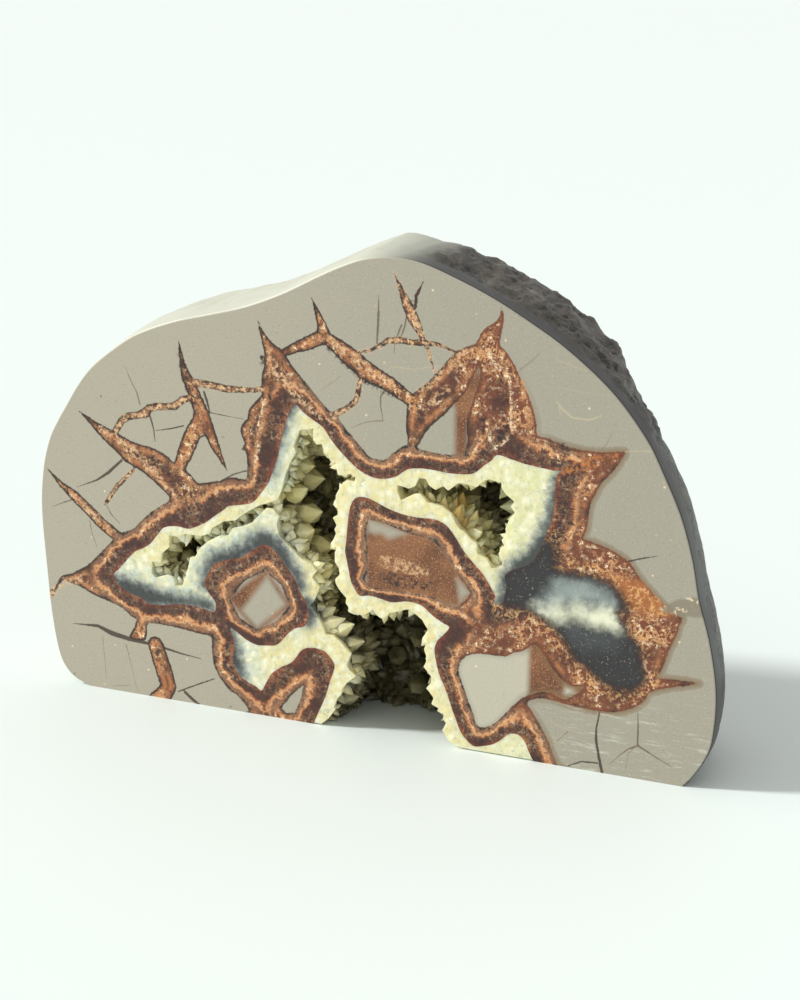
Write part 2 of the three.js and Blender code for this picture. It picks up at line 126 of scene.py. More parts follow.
sideVoid = [
    (10.4, 64.3), (13.5, 63.8), (15, 64.5), (15.9, 66.6), (17.7, 66.7), (18.7, 65), (20.3, 64.2),
    (22.1, 65.4), (23.5, 64.4), (26, 66.5), (27.2, 66.6), (30.6, 66.1), (32, 67.4), (33.6, 68.4),
    (35, 68.1), (36.9, 67.8), (36.9, 66.6), (38.1, 65.1), (40.2, 63.7), (39.2, 62.4), (40.3, 61),
    (39, 59.4), (38, 57), (38.2, 55.3), (37, 54), (37.8, 52.6), (36.6, 51.7), (37, 49.5), (37.4, 47.7),
    (36, 46.9), (34.5, 46.8), (33.3, 49), (30.8, 49.9), (30.8, 52.4), (29.5, 53), (27.5, 55),
    (26.6, 55.2), (25.5, 56.5), (24.1, 59), (22, 60.3), (20, 60.5), (18, 61), (17.4, 61.9), (16.3, 62.8),
    (15, 62.7), (12.8, 61.5), (11.3, 60.6), (10.3, 62.8)]

# Outer edge of the brown calcite where it meets the grey mudstone, spikes included
veinOutline = [
    (-30.5, -3), (-30.5, 0.5), (-34, 4.3), (-35.8, 5), (-38.2, 7.4), (-40, 10.4), (-40.7, 13),
    (-40.9, 16.3), (-41, 18.8), (-44, 19), (-47, 19.4), (-50, 19.7), (-55, 20), (-59, 19.8), (-59.7, 18),
    (-60.2, 15), (-65, 15), (-64, 17), (-62.6, 20), (-64.4, 21), (-66.5, 22.7), (-69.2, 23.7),
    (-72.4, 24.5), (-76, 25.5), (-79, 26.9), (-81, 27.3), (-84.4, 27.8), (-86.4, 25), (-88.5, 22.2),
    (-91, 23), (-87, 25.6), (-85, 28.8), (-82, 30), (-79, 31.6), (-76.5, 33.1), (-74.1, 35.4),
    (-71.4, 38.1), (-69.5, 40), (-66.8, 42.7), (-64, 43.8), (-62, 45), (-60, 47.1), (-57.5, 49.4),
    (-55.9, 50.4), (-54.5, 51.5), (-52.7, 52.4), (-51.9, 53.6), (-52.4, 54.6), (-55, 56.7), (-57.9, 58.7),
    (-60.2, 60.1), (-62, 60.8), (-64.3, 61.8), (-66.4, 63.7), (-69.4, 66), (-72, 68.2), (-73.6, 70),
    (-78, 74), (-74, 72), (-70, 70.4), (-66, 68.8), (-62.4, 67.4), (-60, 66.8), (-57, 66.4),
    (-54.3, 65.6), (-51.6, 64.2), (-50.2, 63.2), (-49.3, 66), (-47.9, 69.6), (-46.2, 73), (-44.8, 74.9),
    (-44.2, 76.8), (-42, 76), (-40.9, 71.5), (-42.7, 70), (-43.9, 67.5), (-45.4, 64.5), (-47, 61.8),
    (-45.5, 60.5), (-44.2, 59), (-43, 58.6), (-40, 59.3), (-37, 60.1), (-34, 61.2), (-31, 61),
    (-30, 61.5), (-29.7, 64.3), (-30, 68), (-31.4, 68.6), (-30.3, 70), (-31.5, 72.9), (-31, 74.8),
    (-29.5, 76.4), (-29, 78.7), (-27.5, 80.5), (-25.8, 82.3), (-25.3, 83.5), (-25.5, 85.5), (-25.2, 88),
    (-24.6, 90.5), (-24.6, 93.5), (-25.2, 96), (-26.2, 101), (-24.4, 98), (-21.9, 95.5), (-20.3, 94.6),
    (-18.6, 93), (-17.4, 91.1), (-14.9, 88.3), (-12.4, 85.8), (-10, 83.1), (-7.4, 80.7), (-5, 79),
    (-3, 76.6), (0, 73.6), (2, 71.6), (3.7, 70.2), (7, 70), (9, 71.7), (11.4, 73.7), (13.3, 74.8),
    (12.6, 78), (12.7, 80.5), (13.2, 83.9), (14.4, 86.8), (17, 88.9), (20, 91.8), (22.1, 94.4),
    (25, 97.6), (28, 99.3), (30, 100), (31, 102), (32.5, 104), (35, 105.6), (36, 107.5), (36.3, 109.4),
    (36.9, 106.4), (36.4, 103.1), (36, 100.4), (37.5, 99), (38.6, 97.5), (40, 95.6), (41.4, 92.4),
    (43, 89.5), (44.4, 86), (45.2, 83.1), (45.5, 80), (48, 79.7), (52, 78.4), (56, 77.8), (60, 77.7),
    (63, 78), (66.6, 78.5), (66, 77), (65.1, 75.4), (63.4, 73), (61.4, 70.8), (60.1, 68.4), (58.8, 65.5),
    (58.3, 62.4), (57.9, 59), (57.2, 56.9), (60, 56.2), (63, 55.3), (66, 54), (68.6, 52.4), (70.4, 50),
    (72.8, 47.4), (75.4, 45), (78.1, 42.6), (81.4, 41), (80.7, 39.4), (80.2, 37), (78.5, 33), (77.6, 30),
    (76.6, 27.1), (75.5, 25.7), (80, 26), (85.8, 25.9), (80.1, 24.2), (76.8, 23.1), (73.8, 21.6),
    (73.3, 20.1), (71.5, 18.2), (68.6, 16.6), (65.2, 15.5), (62, 15.4), (57.8, 15.5), (54, 15.8),
    (51.8, 16.2), (48.9, 16.4), (46.6, 16), (44.4, 15.1), (44.1, 14.2), (45.4, 12.6), (47.5, 9.5),
    (49.4, 6.2), (50.7, 2.9), (52, 0), (52, -3)]

# Pieces of mudstone held inside the brown calcite. Stained ones are brown where no grey cell lies
cells = {
    "upperTriangle": [(16.3, 73.6), (27.5, 73.6), (28, 82), (31, 91), (30.8, 95), (28, 89), (24.5, 85),
        (22.2, 82.4), (19, 79.5), (17.1, 76.9), (16.2, 75)],
    "centralCore": [(2.8, 55), (13, 52.7), (20, 51.5), (24, 47), (26, 44), (29.3, 40), (27, 37), (25, 36),
        (18, 38), (3, 38), (2.5, 42), (2.7, 48)],
    "diamondCore": [(-25.3, 38.2), (-18.8, 30), (-28, 22.6), (-35.3, 29.6)],
    "footCore": [(-15.2, 9.8), (-17.6, 2.2), (-21.4, 2.8)],
    "heart": [(26.6, 19.5), (26.8, 22), (28.5, 24), (31.4, 25.1), (35.2, 25.2), (38.5, 25.4),
        (40.5, 26.7), (42.5, 27.3), (44.3, 28.5), (46, 29.5), (48, 27.5), (50, 24.5), (53, 21.5), (56, 20.5),
        (58.5, 21), (54, 17), (50, 18), (46.5, 17.5), (43.5, 16), (42.1, 15), (40, 12.6), (37.7, 10),
        (35.7, 7.9), (33.6, 6.7), (32, 6.5), (31, 7.2), (30.5, 9.5), (29, 12.8), (27.5, 16.8)]}
stainedAreas = [
    [(25, 73), (25, 84.4), (24.3, 86), (31, 96), (32, 91), (28.6, 82), (28.2, 73)], [(1.8, 56),
    (13, 53.5), (20, 52.5), (31, 40), (27, 35.5), (18, 37), (2, 37)], [(-25.3, 39), (-17.8, 30),
    (-28, 21.6), (-36.3, 29.6)], [(44.3, 29), (46, 31), (49, 28.5), (54, 22.5), (60, 21), (54, 16),
    (46, 17), (44.2, 15.5)]]
greyInStain = [
    [(2.8, 54.8), (7, 54), (13, 52.7), (9.5, 51.3), (8, 50.8), (6.5, 51.8), (4.4, 51.7), (2.9, 51.8)],
    [(25.9, 43), (29.2, 40), (27.5, 38.5), (26.8, 37.2), (26.4, 39.6)], [(-24.8, 36.8), (-19.9, 30.3),
    (-27.8, 23.2), (-32, 27)], [(53.6, 18), (53.6, 20.3), (55.8, 20.2), (55.6, 18.2)]]

# Brown veins in the mudstone: (x, z, width) along each
veins = {
    "stub": [(-57.2, 14.2, 4.6), (-56, 10.6, 5), (-54.8, 6.8, 5), (-53.8, 3.6, 4.6), (-54.8, 1.6, 4.4),
        (-57.4, -1, 5)],
    "leftPair": [(-67, 41.6, 3.2), (-72, 44.8, 3.2), (-76, 48.2, 3), (-79.5, 51, 3), (-83.5, 53.7, 1.5),
        (-87.5, 57.5, 0.2)],
    "spindle": [(-48, 94, 0.1), (-47, 88, 1.8), (-46, 85, 3), (-43.5, 80, 3.5), (-42, 76, 4.4),
        (-40, 72, 3.2), (-38.5, 68.5, 2.6), (-35.3, 62.6, 0.1)],
    "bridgeLong": [(-43.5, 84, 2), (-40, 83.9, 1.8), (-35, 83.3, 1.9), (-30, 83.5, 1.4), (-27, 83.8, 1.2),
        (-24.5, 84.3, 1.5)],
    "bridgeLow": [(-45, 80.3, 1.5), (-47.5, 79.3, 2), (-49.5, 77.6, 2), (-52, 77.2, 1.8), (-54.5, 77, 2),
        (-57, 76.3, 2), (-58, 75, 2.6), (-60, 74.3, 2), (-63, 73.6, 2), (-65, 72.3, 2), (-66.8, 69.5, 1.8)],
    "bridgeTop": [(-19, 93.8, 2), (-16, 95.2, 2.6), (-13, 96.4, 3.4), (-10, 97.9, 3.6), (-8, 98.3, 3.2)],
    "spikeTop": [(-11.7, 107.4, 0.1), (-10.3, 104.2, 1.4), (-9.2, 101.5, 2.4), (-8.6, 99.2, 3.4)],
    "beam": [(-8.2, 98.4, 3), (-4.5, 96, 4.2), (-1.2, 93.8, 5), (1.8, 91.6, 5), (5, 90, 4.4),
        (8.6, 88.4, 4), (13.6, 85.4, 3.2)],
    "drop": [(1.5, 90, 0.8), (0.7, 88, 1.2), (0.3, 85.5, 1.4), (-0.6, 83.4, 1.4), (-3, 81.5, 1.3),
        (-5.5, 80, 1.8), (-7, 78.7, 2.5)],
    "arcTop": [(0.2, 95.5, 0.5), (3, 96, 0.7), (5.5, 97.3, 0.9), (8, 98.9, 1.4), (11, 99.3, 1.8),
        (14, 99, 1.4), (17, 99.2, 1.5), (20, 99.2, 1), (22.5, 98.6, 0.7), (25, 97.8, 0.5)],
    "leaf": [(9.6, 115, 0.1), (11.2, 111.5, 1.2), (12.8, 108, 2.6), (14.3, 105, 3), (15.8, 102.3, 2.2),
        (17, 99.8, 1), (18.3, 97.5, 0.9), (19.3, 94.3, 0.5), (20, 92.3, 0.2)],
    "leafSprig": [(15, 107.5, 0.7), (15.2, 110, 0.9), (17, 113.5, 0.1)],
    "underSpike": [(-61.8, 60, 0.8), (-64, 58, 1.1), (-67, 55.1, 1.3), (-70.3, 50.6, 1.1),
        (-71, 49.6, 0.2)],
    "neck": [(14.6, 83.5, 3.4), (14.7, 78, 3.6), (14.8, 74, 3.4)]}

# Hairline cracks: tone 0 is dark, 1 is cream; then (x, z, width) along each
hairlines = [
    (0, [(-82, 16.5, 0.2), (-74.2, 16.9, 1), (-70.2, 15.5, 1.5), (-65, 14.7, 1.3), (-60, 14.3, 1),
    (-55, 13.8, 0.8), (-50, 13, 0.6), (-43.8, 12.4, 0.2)]), (0, [(-51, 2.5, 0.5), (-45.5, 5.2, 0.5),
    (-40.4, 7.6, 0.4)]), (0, [(-49, 2.6, 0.9), (-46.5, 0.8, 1), (-45, 0, 0.8)]), (0.2, [(-73, 14, 0.3),
    (-72.3, 3, 0.2)]), (0.2, [(-66, 13, 0.4), (-65, 9, 0.3), (-63, 0.5, 0.2)]), (0.3, [(-70.5, 1, 0.3),
    (-65, 2, 0.3)]), (0.1, [(-80.5, 50, 0.5), (-83, 49, 0.4), (-86.5, 47.5, 0.2)]),
    (0.1, [(-75.5, 45, 0.3), (-75, 42, 0.3), (-73.5, 38, 0.2)]), (0, [(-65.4, 62, 0.8),
    (-69.4, 58.4, 0.9), (-73, 56, 0.6), (-79, 53.5, 0.2)]), (0.1, [(-70.5, 50, 0.4), (-69, 47.5, 0.4),
    (-66.7, 45.5, 0.3)]), (0.8, [(-60.5, 51.3, 0.3), (-56, 50.3, 0.3)]), (0.2, [(-59.5, 77, 0.6),
    (-60.3, 80, 0.5), (-62, 83, 0.4), (-63.5, 86.5, 0.2)]), (0, [(-57, 75, 0.6), (-56.3, 73, 0.6),
    (-55.8, 71, 0.5), (-55.5, 68, 0.3)]), (0, [(-55, 70.8, 0.3), (-51, 71.7, 0.5), (-47.3, 72.8, 0.5)]),
    (0, [(-41, 77, 0.4), (-35, 76.5, 0.3), (-30.5, 76.2, 0.2)]), (0, [(-37, 60, 0.4), (-33.5, 62, 0.5),
    (-30, 63.3, 0.4)]), (0, [(-41.3, 82, 0.7), (-40.6, 80, 0.8), (-39.8, 77, 0.5)]),
    (0.1, [(5.7, 109.5, 0.2), (5.6, 105, 0.7), (5.4, 101, 0.7), (5.2, 98, 0.5)]), (0.1, [(12.8, 105, 0.5),
    (12.3, 102.5, 0.5), (11.3, 100, 0.4)]), (0.1, [(11.5, 103, 0.5), (10.3, 100, 0.5)]),
    (0.2, [(9.8, 99, 0.4), (9.6, 96, 0.3)]), (0.75, [(7.6, 91.6, 0.3), (9, 92.8, 0.4), (12, 92.8, 0.5),
    (15, 92.6, 0.4), (18, 93.5, 0.5), (21.5, 94.2, 0.4)]), (0.1, [(7, 86.5, 0.5), (6.1, 85.5, 0.5),
    (6.1, 83, 0.4), (6.7, 80, 0.3)]), (0.25, [(-1.5, 77, 0.3), (1.5, 78.5, 0.4), (4, 79.2, 0.4),
    (6.7, 79.6, 0.6)]), (0.3, [(-10, 85, 0.2), (-4.5, 89.2, 0.3)]), (0.9, [(50, 88.5, 0.5),
    (51.5, 86.8, 0.7), (54, 85, 0.6), (58, 85, 0.6), (61, 86.3, 0.4)]), (0.9, [(50.5, 88, 0.5),
    (51, 85.5, 0.4)]), (0.7, [(47, 91.8, 0.2), (55, 91.3, 0.3), (63, 91, 0.3)]), (0.7, [(50, 101, 0.2),
    (49.8, 98, 0.4), (54, 97, 0.4), (58, 96, 0.3)]), (0.75, [(66.5, 78.5, 0.5), (70, 79, 0.4),
    (73.5, 79.3, 0.5)]), (0.35, [(41, 95, 0.6), (43.5, 97, 0.5), (46, 99.5, 0.3)]),
    (0.3, [(60.5, 77.8, 0.5), (62, 79.5, 0.4), (63.5, 82.5, 0.2)]), (0, [(68, 52.8, 0.5), (71.5, 54, 0.5),
    (75, 55, 0.2)]), (0, [(62.2, 15, 0.4), (61.5, 11, 0.6), (61.5, 8, 0.8), (62.3, 4, 0.8),
    (63.2, 0, 0.9)]), (0, [(62, 2.3, 0.5), (58, 2, 0.5), (54, 0, 0.4)]), (0.1, [(71.5, 17, 0.2),
    (71.7, 13, 0.5), (71.7, 8.4, 0.6)]), (0.1, [(71.7, 8.3, 0.6), (69.7, 7.3, 0.4), (67.5, 5.3, 0.3),
    (65, 2.5, 0.2)]), (0.1, [(71.7, 8.4, 0.6), (76, 6.3, 0.4), (80, 4.5, 0.2)]), (0.2, [(71, 7.8, 0.3),
    (69.5, 6, 0.3), (69, 2, 0.2)]), (0.2, [(54.5, 9, 0.3), (51, 5.3, 0.3)]), (0.85, [(45, 14, 0.2),
    (52, 10, 0.3), (58, 9, 0.2)]), (0.85, [(46.5, 8, 0.2), (53, 6.5, 0.3), (57, 3, 0.2)])]

# Threads and blotches inside the brown calcite, kept like the hairlines
threads = [
    (1, [(35, 76.5, 0.4), (33.5, 79.5, 0.5), (32.8, 82, 0.4)]), (0, [(37.3, 83.5, 1), (37.4, 86, 2.4),
    (37.3, 90, 2.2), (36.3, 93.5, 0.8)]), (0, [(32, 79.5, 0.8), (32, 82, 1.6)]), (0, [(36, 77.5, 0.8),
    (37.6, 80, 2.4), (38, 82, 1.2)]), (1, [(35.3, 76, 0.4), (38, 79, 0.5), (39.5, 81.5, 0.6),
    (38.8, 85, 0.6), (38.7, 89, 0.6), (38, 93, 0.5), (35.5, 95.5, 0.5), (33.5, 98, 0.3)]),
    (0, [(48.5, 79, 0.6), (51.5, 77.4, 2.6), (52, 74.5, 1.2), (52, 73, 0.4)]), (1, [(50, 78, 0.4),
    (51, 75, 0.5), (52, 72.5, 0.4)]), (0.6, [(52, 72.6, 1.2), (58, 74.8, 2), (65, 77.6, 0.8)]),
    (0.8, [(16, 88, 0.8), (20, 90, 1.2), (24, 95, 1.4), (27, 98, 1)]), (0.8, [(19, 85, 0.8),
    (23, 89, 1.2)]), (0.7, [(41, 93, 0.8), (42.6, 88, 1.4), (43.4, 83, 1.2)]), (1, [(-24.6, 82, 0.4),
    (-26.5, 76, 0.5), (-27, 71, 0.5), (-27.5, 65.3, 0.4)]), (0, [(-25.6, 80, 0.5), (-27.6, 74, 0.9),
    (-28.4, 68, 0.7)]), (0, [(-48, 92.5, 0.3), (-47, 87, 1.2), (-45.2, 82, 1.3), (-43.4, 78, 0.8)]),
    (0, [(-7.5, 96.4, 0.7), (-2.5, 92.4, 1.2), (2.5, 88.9, 1.2), (9, 86.4, 0.9)]),
    (0.85, [(-7.5, 98, 0.8), (-3.5, 95.6, 1.2), (0, 93.4, 1.5), (4, 90.9, 1.2), (9, 88.6, 0.8)]),
    (0.85, [(-71, 69.8, 0.6), (-65, 66.6, 0.9), (-59, 62.8, 1.3), (-54, 58, 1.2), (-50.5, 54.6, 0.8)]),
    (0, [(-57, 64.2, 0.6), (-52, 60.6, 1.4), (-48, 58, 1)]), (0.85, [(-68, 42.4, 0.7), (-74, 46.6, 1),
    (-80, 51.2, 0.6)]), (0.85, [(-23.5, 93, 0.8), (-21, 88, 1.4), (-16, 83.6, 1.3), (-10, 78.8, 1)]),
    (0, [(-25, 92, 0.5), (-23.6, 86, 1), (-23, 82, 0.8)]), (0.8, [(7, 45, 2), (12, 44, 3.4),
    (17, 43.4, 3)]), (0, [(7, 41, 2), (13, 40.6, 3), (19, 40.2, 2)]), (0.85, [(-79, 28.6, 1),
    (-84, 27.6, 1), (-88.5, 23.4, 1.2)])]
# Slim veins glow along their middle
for name in ("bridgeLong", "bridgeLow", "drop", "arcTop", "leaf", "underSpike"):
    threads.append((0.85, [(x, z, width * 0.5) for x, z, width in veins[name]]))

# Clear and dark calcite that fills the hollow's right end, flush with the stone
darkZone = [
    (37.5, 38.5), (40.3, 38.1), (43.2, 37.7), (46, 37), (48, 35.8), (50, 34.7), (51.8, 32.6), (54, 30.3),
    (55.4, 28), (58.3, 26.1), (61.3, 23.6), (64, 22.1), (68, 21.6), (71.2, 22.7), (73, 25.2),
    (71.9, 28.8), (71.3, 32.8), (69, 34.9), (67.7, 37.9), (65.8, 39.8), (68, 41), (67.1, 43.2),
    (65.2, 45.8), (62, 47.2), (58, 47.9), (53.2, 48.3), (49.8, 49.2), (50.2, 52.5), (49, 55),
    (47.4, 54.4), (46.3, 52.4), (44, 49.4), (40, 47.4), (37.5, 45.5), (38, 42)]
print("outlines read")


def looped(line):                    # the first point again at the end
    return np.vstack([line, line[:1]])


def rounded(line, pieces=3, closed=True):
    line = np.array(line, float)
    line = np.vstack([line[-1:], line, line[:2]] if closed else [line[:1], line, line[-1:]])
    result = []
    for p0, p1, p2, p3 in zip(line, line[1:], line[2:], line[3:]):
        for t in np.arange(pieces) / pieces:
            result.append(0.5 * (2 * p1 + (p2 - p0) * t + (2 * p0 - 5 * p1 + 4 * p2 - p3) * t ** 2
                                 + (3 * p1 - p0 - 3 * p2 + p3) * t ** 3))
    return np.array(result if closed else result + [line[-1]])


def resampled(line, step, closed=False):
    line = np.array(line, float)
    if closed:
        line = looped(line)
    marks = np.concatenate([[0], np.cumsum(np.hypot(*np.diff(line, axis=0).T))])
    at = np.linspace(0, marks[-1], max(3, round(marks[-1] / step)) + 1)
    if closed:
        at = at[:-1]
    return np.column_stack([np.interp(at, marks, line[:, k]) for k in range(line.shape[1])])


def nearest(points, line, closed=True):
    line = looped(np.array(line, float)) if closed else np.array(line, float)
    gap, spot = np.full(len(points), 1e9), np.zeros((len(points), 2))
    for a, b in zip(line, line[1:]):
        run = b - a
        t = np.clip(((points - a) @ run) / max(run @ run, 1e-12), 0, 1)
        foot = a + t[:, None] * run
        far = np.hypot(*(points - foot).T)
        closer = far < gap
        gap[closer], spot[closer] = far[closer], foot[closer]
    return gap, spot


def inside(points, line):
    line = np.array(line, float)
    x, z = points.T
    result = np.zeros(len(points), bool)
    for (ax, az), (bx, bz) in zip(line, np.roll(line, -1, 0)):
        if az != bz:
            result ^= ((az > z) != (bz > z)) & (x < ax + (z - az) * (bx - ax) / (bz - az))
    return result


def depthInside(points, line):       # millimetres to the outline, negative outside it
    gap = nearest(points, line)[0]
    return np.where(inside(points, line), gap, -gap)


def depthInStroke(points, stroke):   # millimetres inside a line of changing width
    best = np.full(len(points), -1e3)
    for (ax, az, aw), (bx, bz, bw) in zip(stroke, stroke[1:]):
        a, run = np.array((ax, az)), np.array((bx - ax, bz - az))
        t = np.clip(((points - a) @ run) / (run @ run), 0, 1)
        best = np.maximum(best, (aw + (bw - aw) * t) / 2 - np.hypot(*(points - a - t[:, None] * run).T))
    return best


def smoothStep(low, high, value):
    t = np.clip((value - low) / (high - low), 0, 1)
    return t * t * (3 - 2 * t)


def outwards(line):
    along = np.roll(line, -1, 0) - np.roll(line, 1, 0)
    along /= np.maximum(np.hypot(*along.T), 1e-9)[:, None]
    turn = np.sign(np.sum(line[:, 0] * np.roll(line[:, 1], -1) - np.roll(line[:, 0], -1) * line[:, 1]))
    return np.column_stack([along[:, 1], -along[:, 0]]) * turn


def lump(x, depth, z, scale, octaves=3):
    return noise.fractal(Vector((x, depth, z)) * scale, 1.0, 2.0, octaves)


def gapsTo(others, points):          # from each point to the nearest of the others
    tree = kdtree.KDTree(len(others))
    for i, (x, z) in enumerate(others):
        tree.insert((x, z, 0), i)
    tree.balance()
    return np.array([tree.find((x, z, 0))[2] for x, z in points])


def plate(outer, step, holes=(), extra=None):        # points and triangles that fill an outline
    loops = [outer, *holes]
    rims = np.vstack(loops)

    def wanted(points):
        return inside(points, outer) & ~np.any([inside(points, hole) for hole in holes], 0)

    low, high = rims.min(0), rims.max(0)
    across = np.arange(low[0], high[0], step)
    grid = np.vstack([np.column_stack([across + (row % 2) * step / 2, np.full(len(across), z)])
                      for row, z in enumerate(np.arange(low[1], high[1], step * 0.87))])
    grid = grid + np.random.default_rng(3).uniform(-0.16, 0.16, grid.shape) * step
    if extra is not None:
        grid = np.vstack([extra, grid[gapsTo(extra, grid) > step * 0.5]])
    grid = grid[wanted(grid)]
    grid = grid[gapsTo(rims, grid) > step * 0.55]
    edges, start = [], 0
    for loop in loops:
        edges += [(start + i, start + (i + 1) % len(loop)) for i in range(len(loop))]
        start += len(loop)
    found, _, faces, *_ = delaunay_2d_cdt([Vector(p) for p in np.vstack([rims, grid])], edges, [], 0, 1e-6)
    found, faces = np.array([tuple(p) for p in found]), np.array(faces)
    return found, faces[wanted(found[faces].mean(1))]


def newMesh(name, places, faces, tags=None):         # tag 1 where crystals grow
    shape = bmesh.new()
    made = [shape.verts.new(place) for place in places]
    layer = shape.faces.layers.float.new("grow")
    for face, tag in zip(faces, tags or [0] * len(faces)):
        shape.faces.new([made[k] for k in face])[layer] = tag
    bmesh.ops.remove_doubles(shape, verts=shape.verts, dist=0.002 * mm)
    bmesh.ops.dissolve_degenerate(shape, edges=shape.edges, dist=0.001 * mm)
    bmesh.ops.delete(shape, geom=[v for v in shape.verts if not v.link_faces], context="VERTS")
    bmesh.ops.recalc_face_normals(shape, faces=shape.faces)
    openEdges = sum(len(edge.link_faces) != 2 for edge in shape.edges)
    mesh = bpy.data.meshes.new(name)
    shape.to_mesh(mesh)
    shape.free()
    print(name, len(mesh.polygons), "faces", openEdges, "open edges")
    return mesh


def placesOf(mesh):                  # x and z, then depth, of each vertex in millimetres
    flat = np.zeros(len(mesh.vertices) * 3)
    mesh.vertices.foreach_get("co", flat)
    places = flat.reshape(-1, 3) / mm
    return places[:, [0, 2]], places[:, 1] - facePlane / mm


def store(mesh, marks):              # each mark is a value or a direction at every vertex
    for name, values in marks.items():
        kind, field = ("FLOAT", "value") if values.ndim == 1 else ("FLOAT_VECTOR", "vector")
        layer = mesh.attributes.new(name, kind, "POINT")
        layer.data.foreach_set(field, values.astype(np.float32).ravel())


def strip(start, count, closed=True):                # quads between two rings of vertices
    return [(start + i, start + (i + 1) % count, start + count + (i + 1) % count, start + count + i)
            for i in range(count if closed else count - 1)]


# The stone: a slice with a flat polished face, a domed rough back and the hollow cut into it

stone = {
    "step": 0.62, "backStep": 2.5, "bevel": 0.35, "centre": (0, 55), "hollowEnds": (46, -12.5),
    "lump": 0.9, "backLump": 1.1, "veinStep": 0.5, "veinSides": (0, -0.42, 0.42), "thin": 0.28,
    "roughFacing": (26, 38, 74, 84), "roughFrom": (2.5, 9), "sideRough": 0.22, "backFrom": (30, 38),
    "domeFrom": (0.03, 0.4), "chips": (0.17, 0.8), "lift": 0.3,
    "skin": [(0.11, 0, 1.5), (0.42, 7, 0.45)],               # noise per mm, its shift and height
    "dome": [(0.07, 3, 1.1), (0.4, 5, 0.35)],
    "depths": [0, 0.4, 1.6, 3, 4.5, 6, 7.5, 9, 10.5, 12, 13.5, 15, 16.8, 18.6, 20.5, 22.5, hollowDepth,
               27, 29, 31, 33, 35, 36.8, 38.4, 39.8, 41, 41.9, 42.5, 42.8, 42.95, sliceDepth],
    "wall": [                        # where the side faces, its slope and its curl
        (-90, 0, 0.006), (10, 0, 0.0107), (24, 0, 0.0105), (35, 0, 0.0135), (45, 0, 0.009), (53, 0, 0.004),
        (62, 0, 0.0016), (78, 0, 0.0016), (92, 0.02, 0.0013), (105, 0.14, 0.0022), (125, 0.2, 0.0042),
        (155, 0.1, 0.0045), (180, 0.02, 0.005), (270, 0, 0.006)],
    "closing": [                     # depth, and the share closed to the centre there
        (25.5, 0), (30, 0.002), (34, 0.014), (37, 0.045), (39.5, 0.11), (41.2, 0.22), (42.3, 0.38),
        (42.8, 0.6), (43, 0.82), (43.9, 0.97)]}


def stoneRing():
    line = resampled(rounded(faceOutline, 8), stone["step"], True)
    for x in stone["hollowEnds"]:    # the base opening starts at these very points
        beside = np.sign(line[:, 0] - x)
        spot = np.where((line[:, 1] < 0) & (beside != np.roll(beside, -1)))[0][0]
        a, b = line[spot], line[(spot + 1) % len(line)]
        line = np.insert(line, spot + 1, a + (b - a) * (x - a[0]) / (b[0] - a[0]), 0)
    return line


ring = stoneRing()
ringOut = outwards(ring)
facing = np.degrees(np.arctan2(ringOut[:, 1], ringOut[:, 0]))
facing = np.where(facing < -90, facing + 360, facing)
slope, curl = (np.interp(facing, *np.array(stone["wall"])[:, [0, k]].T) for k in (1, 2))
riseFrom, riseTo, fallFrom, fallTo = stone["roughFacing"]
roughTop = smoothStep(riseFrom, riseTo, facing) * (1 - smoothStep(fallFrom, fallTo, facing))
underBase = ring[:, 1] < 0


def lumps(kind, x, depth, z):
    return sum(lump(x, depth, z + shift, scale, 4) * height for scale, shift, height in stone[kind])


def skinLump(x, depth, z):           # broad and fine lumps, less the steps between flat chips
    scale, height = stone["chips"]
    gaps = noise.voronoi(Vector((x, depth, z)) * scale)[0]
    return lumps("skin", x, depth, z) - (gaps[1] - gaps[0]) * height + stone["lift"]


def stoneSection(depth):
    share = np.interp(depth, *np.array(stone["closing"]).T)
    rough = smoothStep(*stone["roughFrom"], depth) * (stone["sideRough"] + roughTop) * stone["lump"]
    rough = np.maximum(rough, smoothStep(*stone["backFrom"], depth) * stone["backLump"])
    skin = np.array([skinLump(x, depth, z) for x, z in ring])
    move = slope * depth - curl * depth ** 2 + skin * rough - (stone["bevel"] if depth == 0 else 0)
    flat = np.where(underBase & (depth <= hollowDepth), 0, 1)
    moved = ring + ringOut * move[:, None] * np.column_stack([flat, np.ones(len(ring))])
    moved = moved + (np.array(stone["centre"]) - moved) * share
    back = smoothStep(*stone["domeFrom"], share) * stone["backLump"]
    return [placed(x, max(depth + back * lumps("dome", x, 50, z), 0), max(z, 0)) for x, z in moved]


hollowLine = resampled(rounded(hollowEdge, 4, closed=False), 0.55)     # left foot of the arch to the right


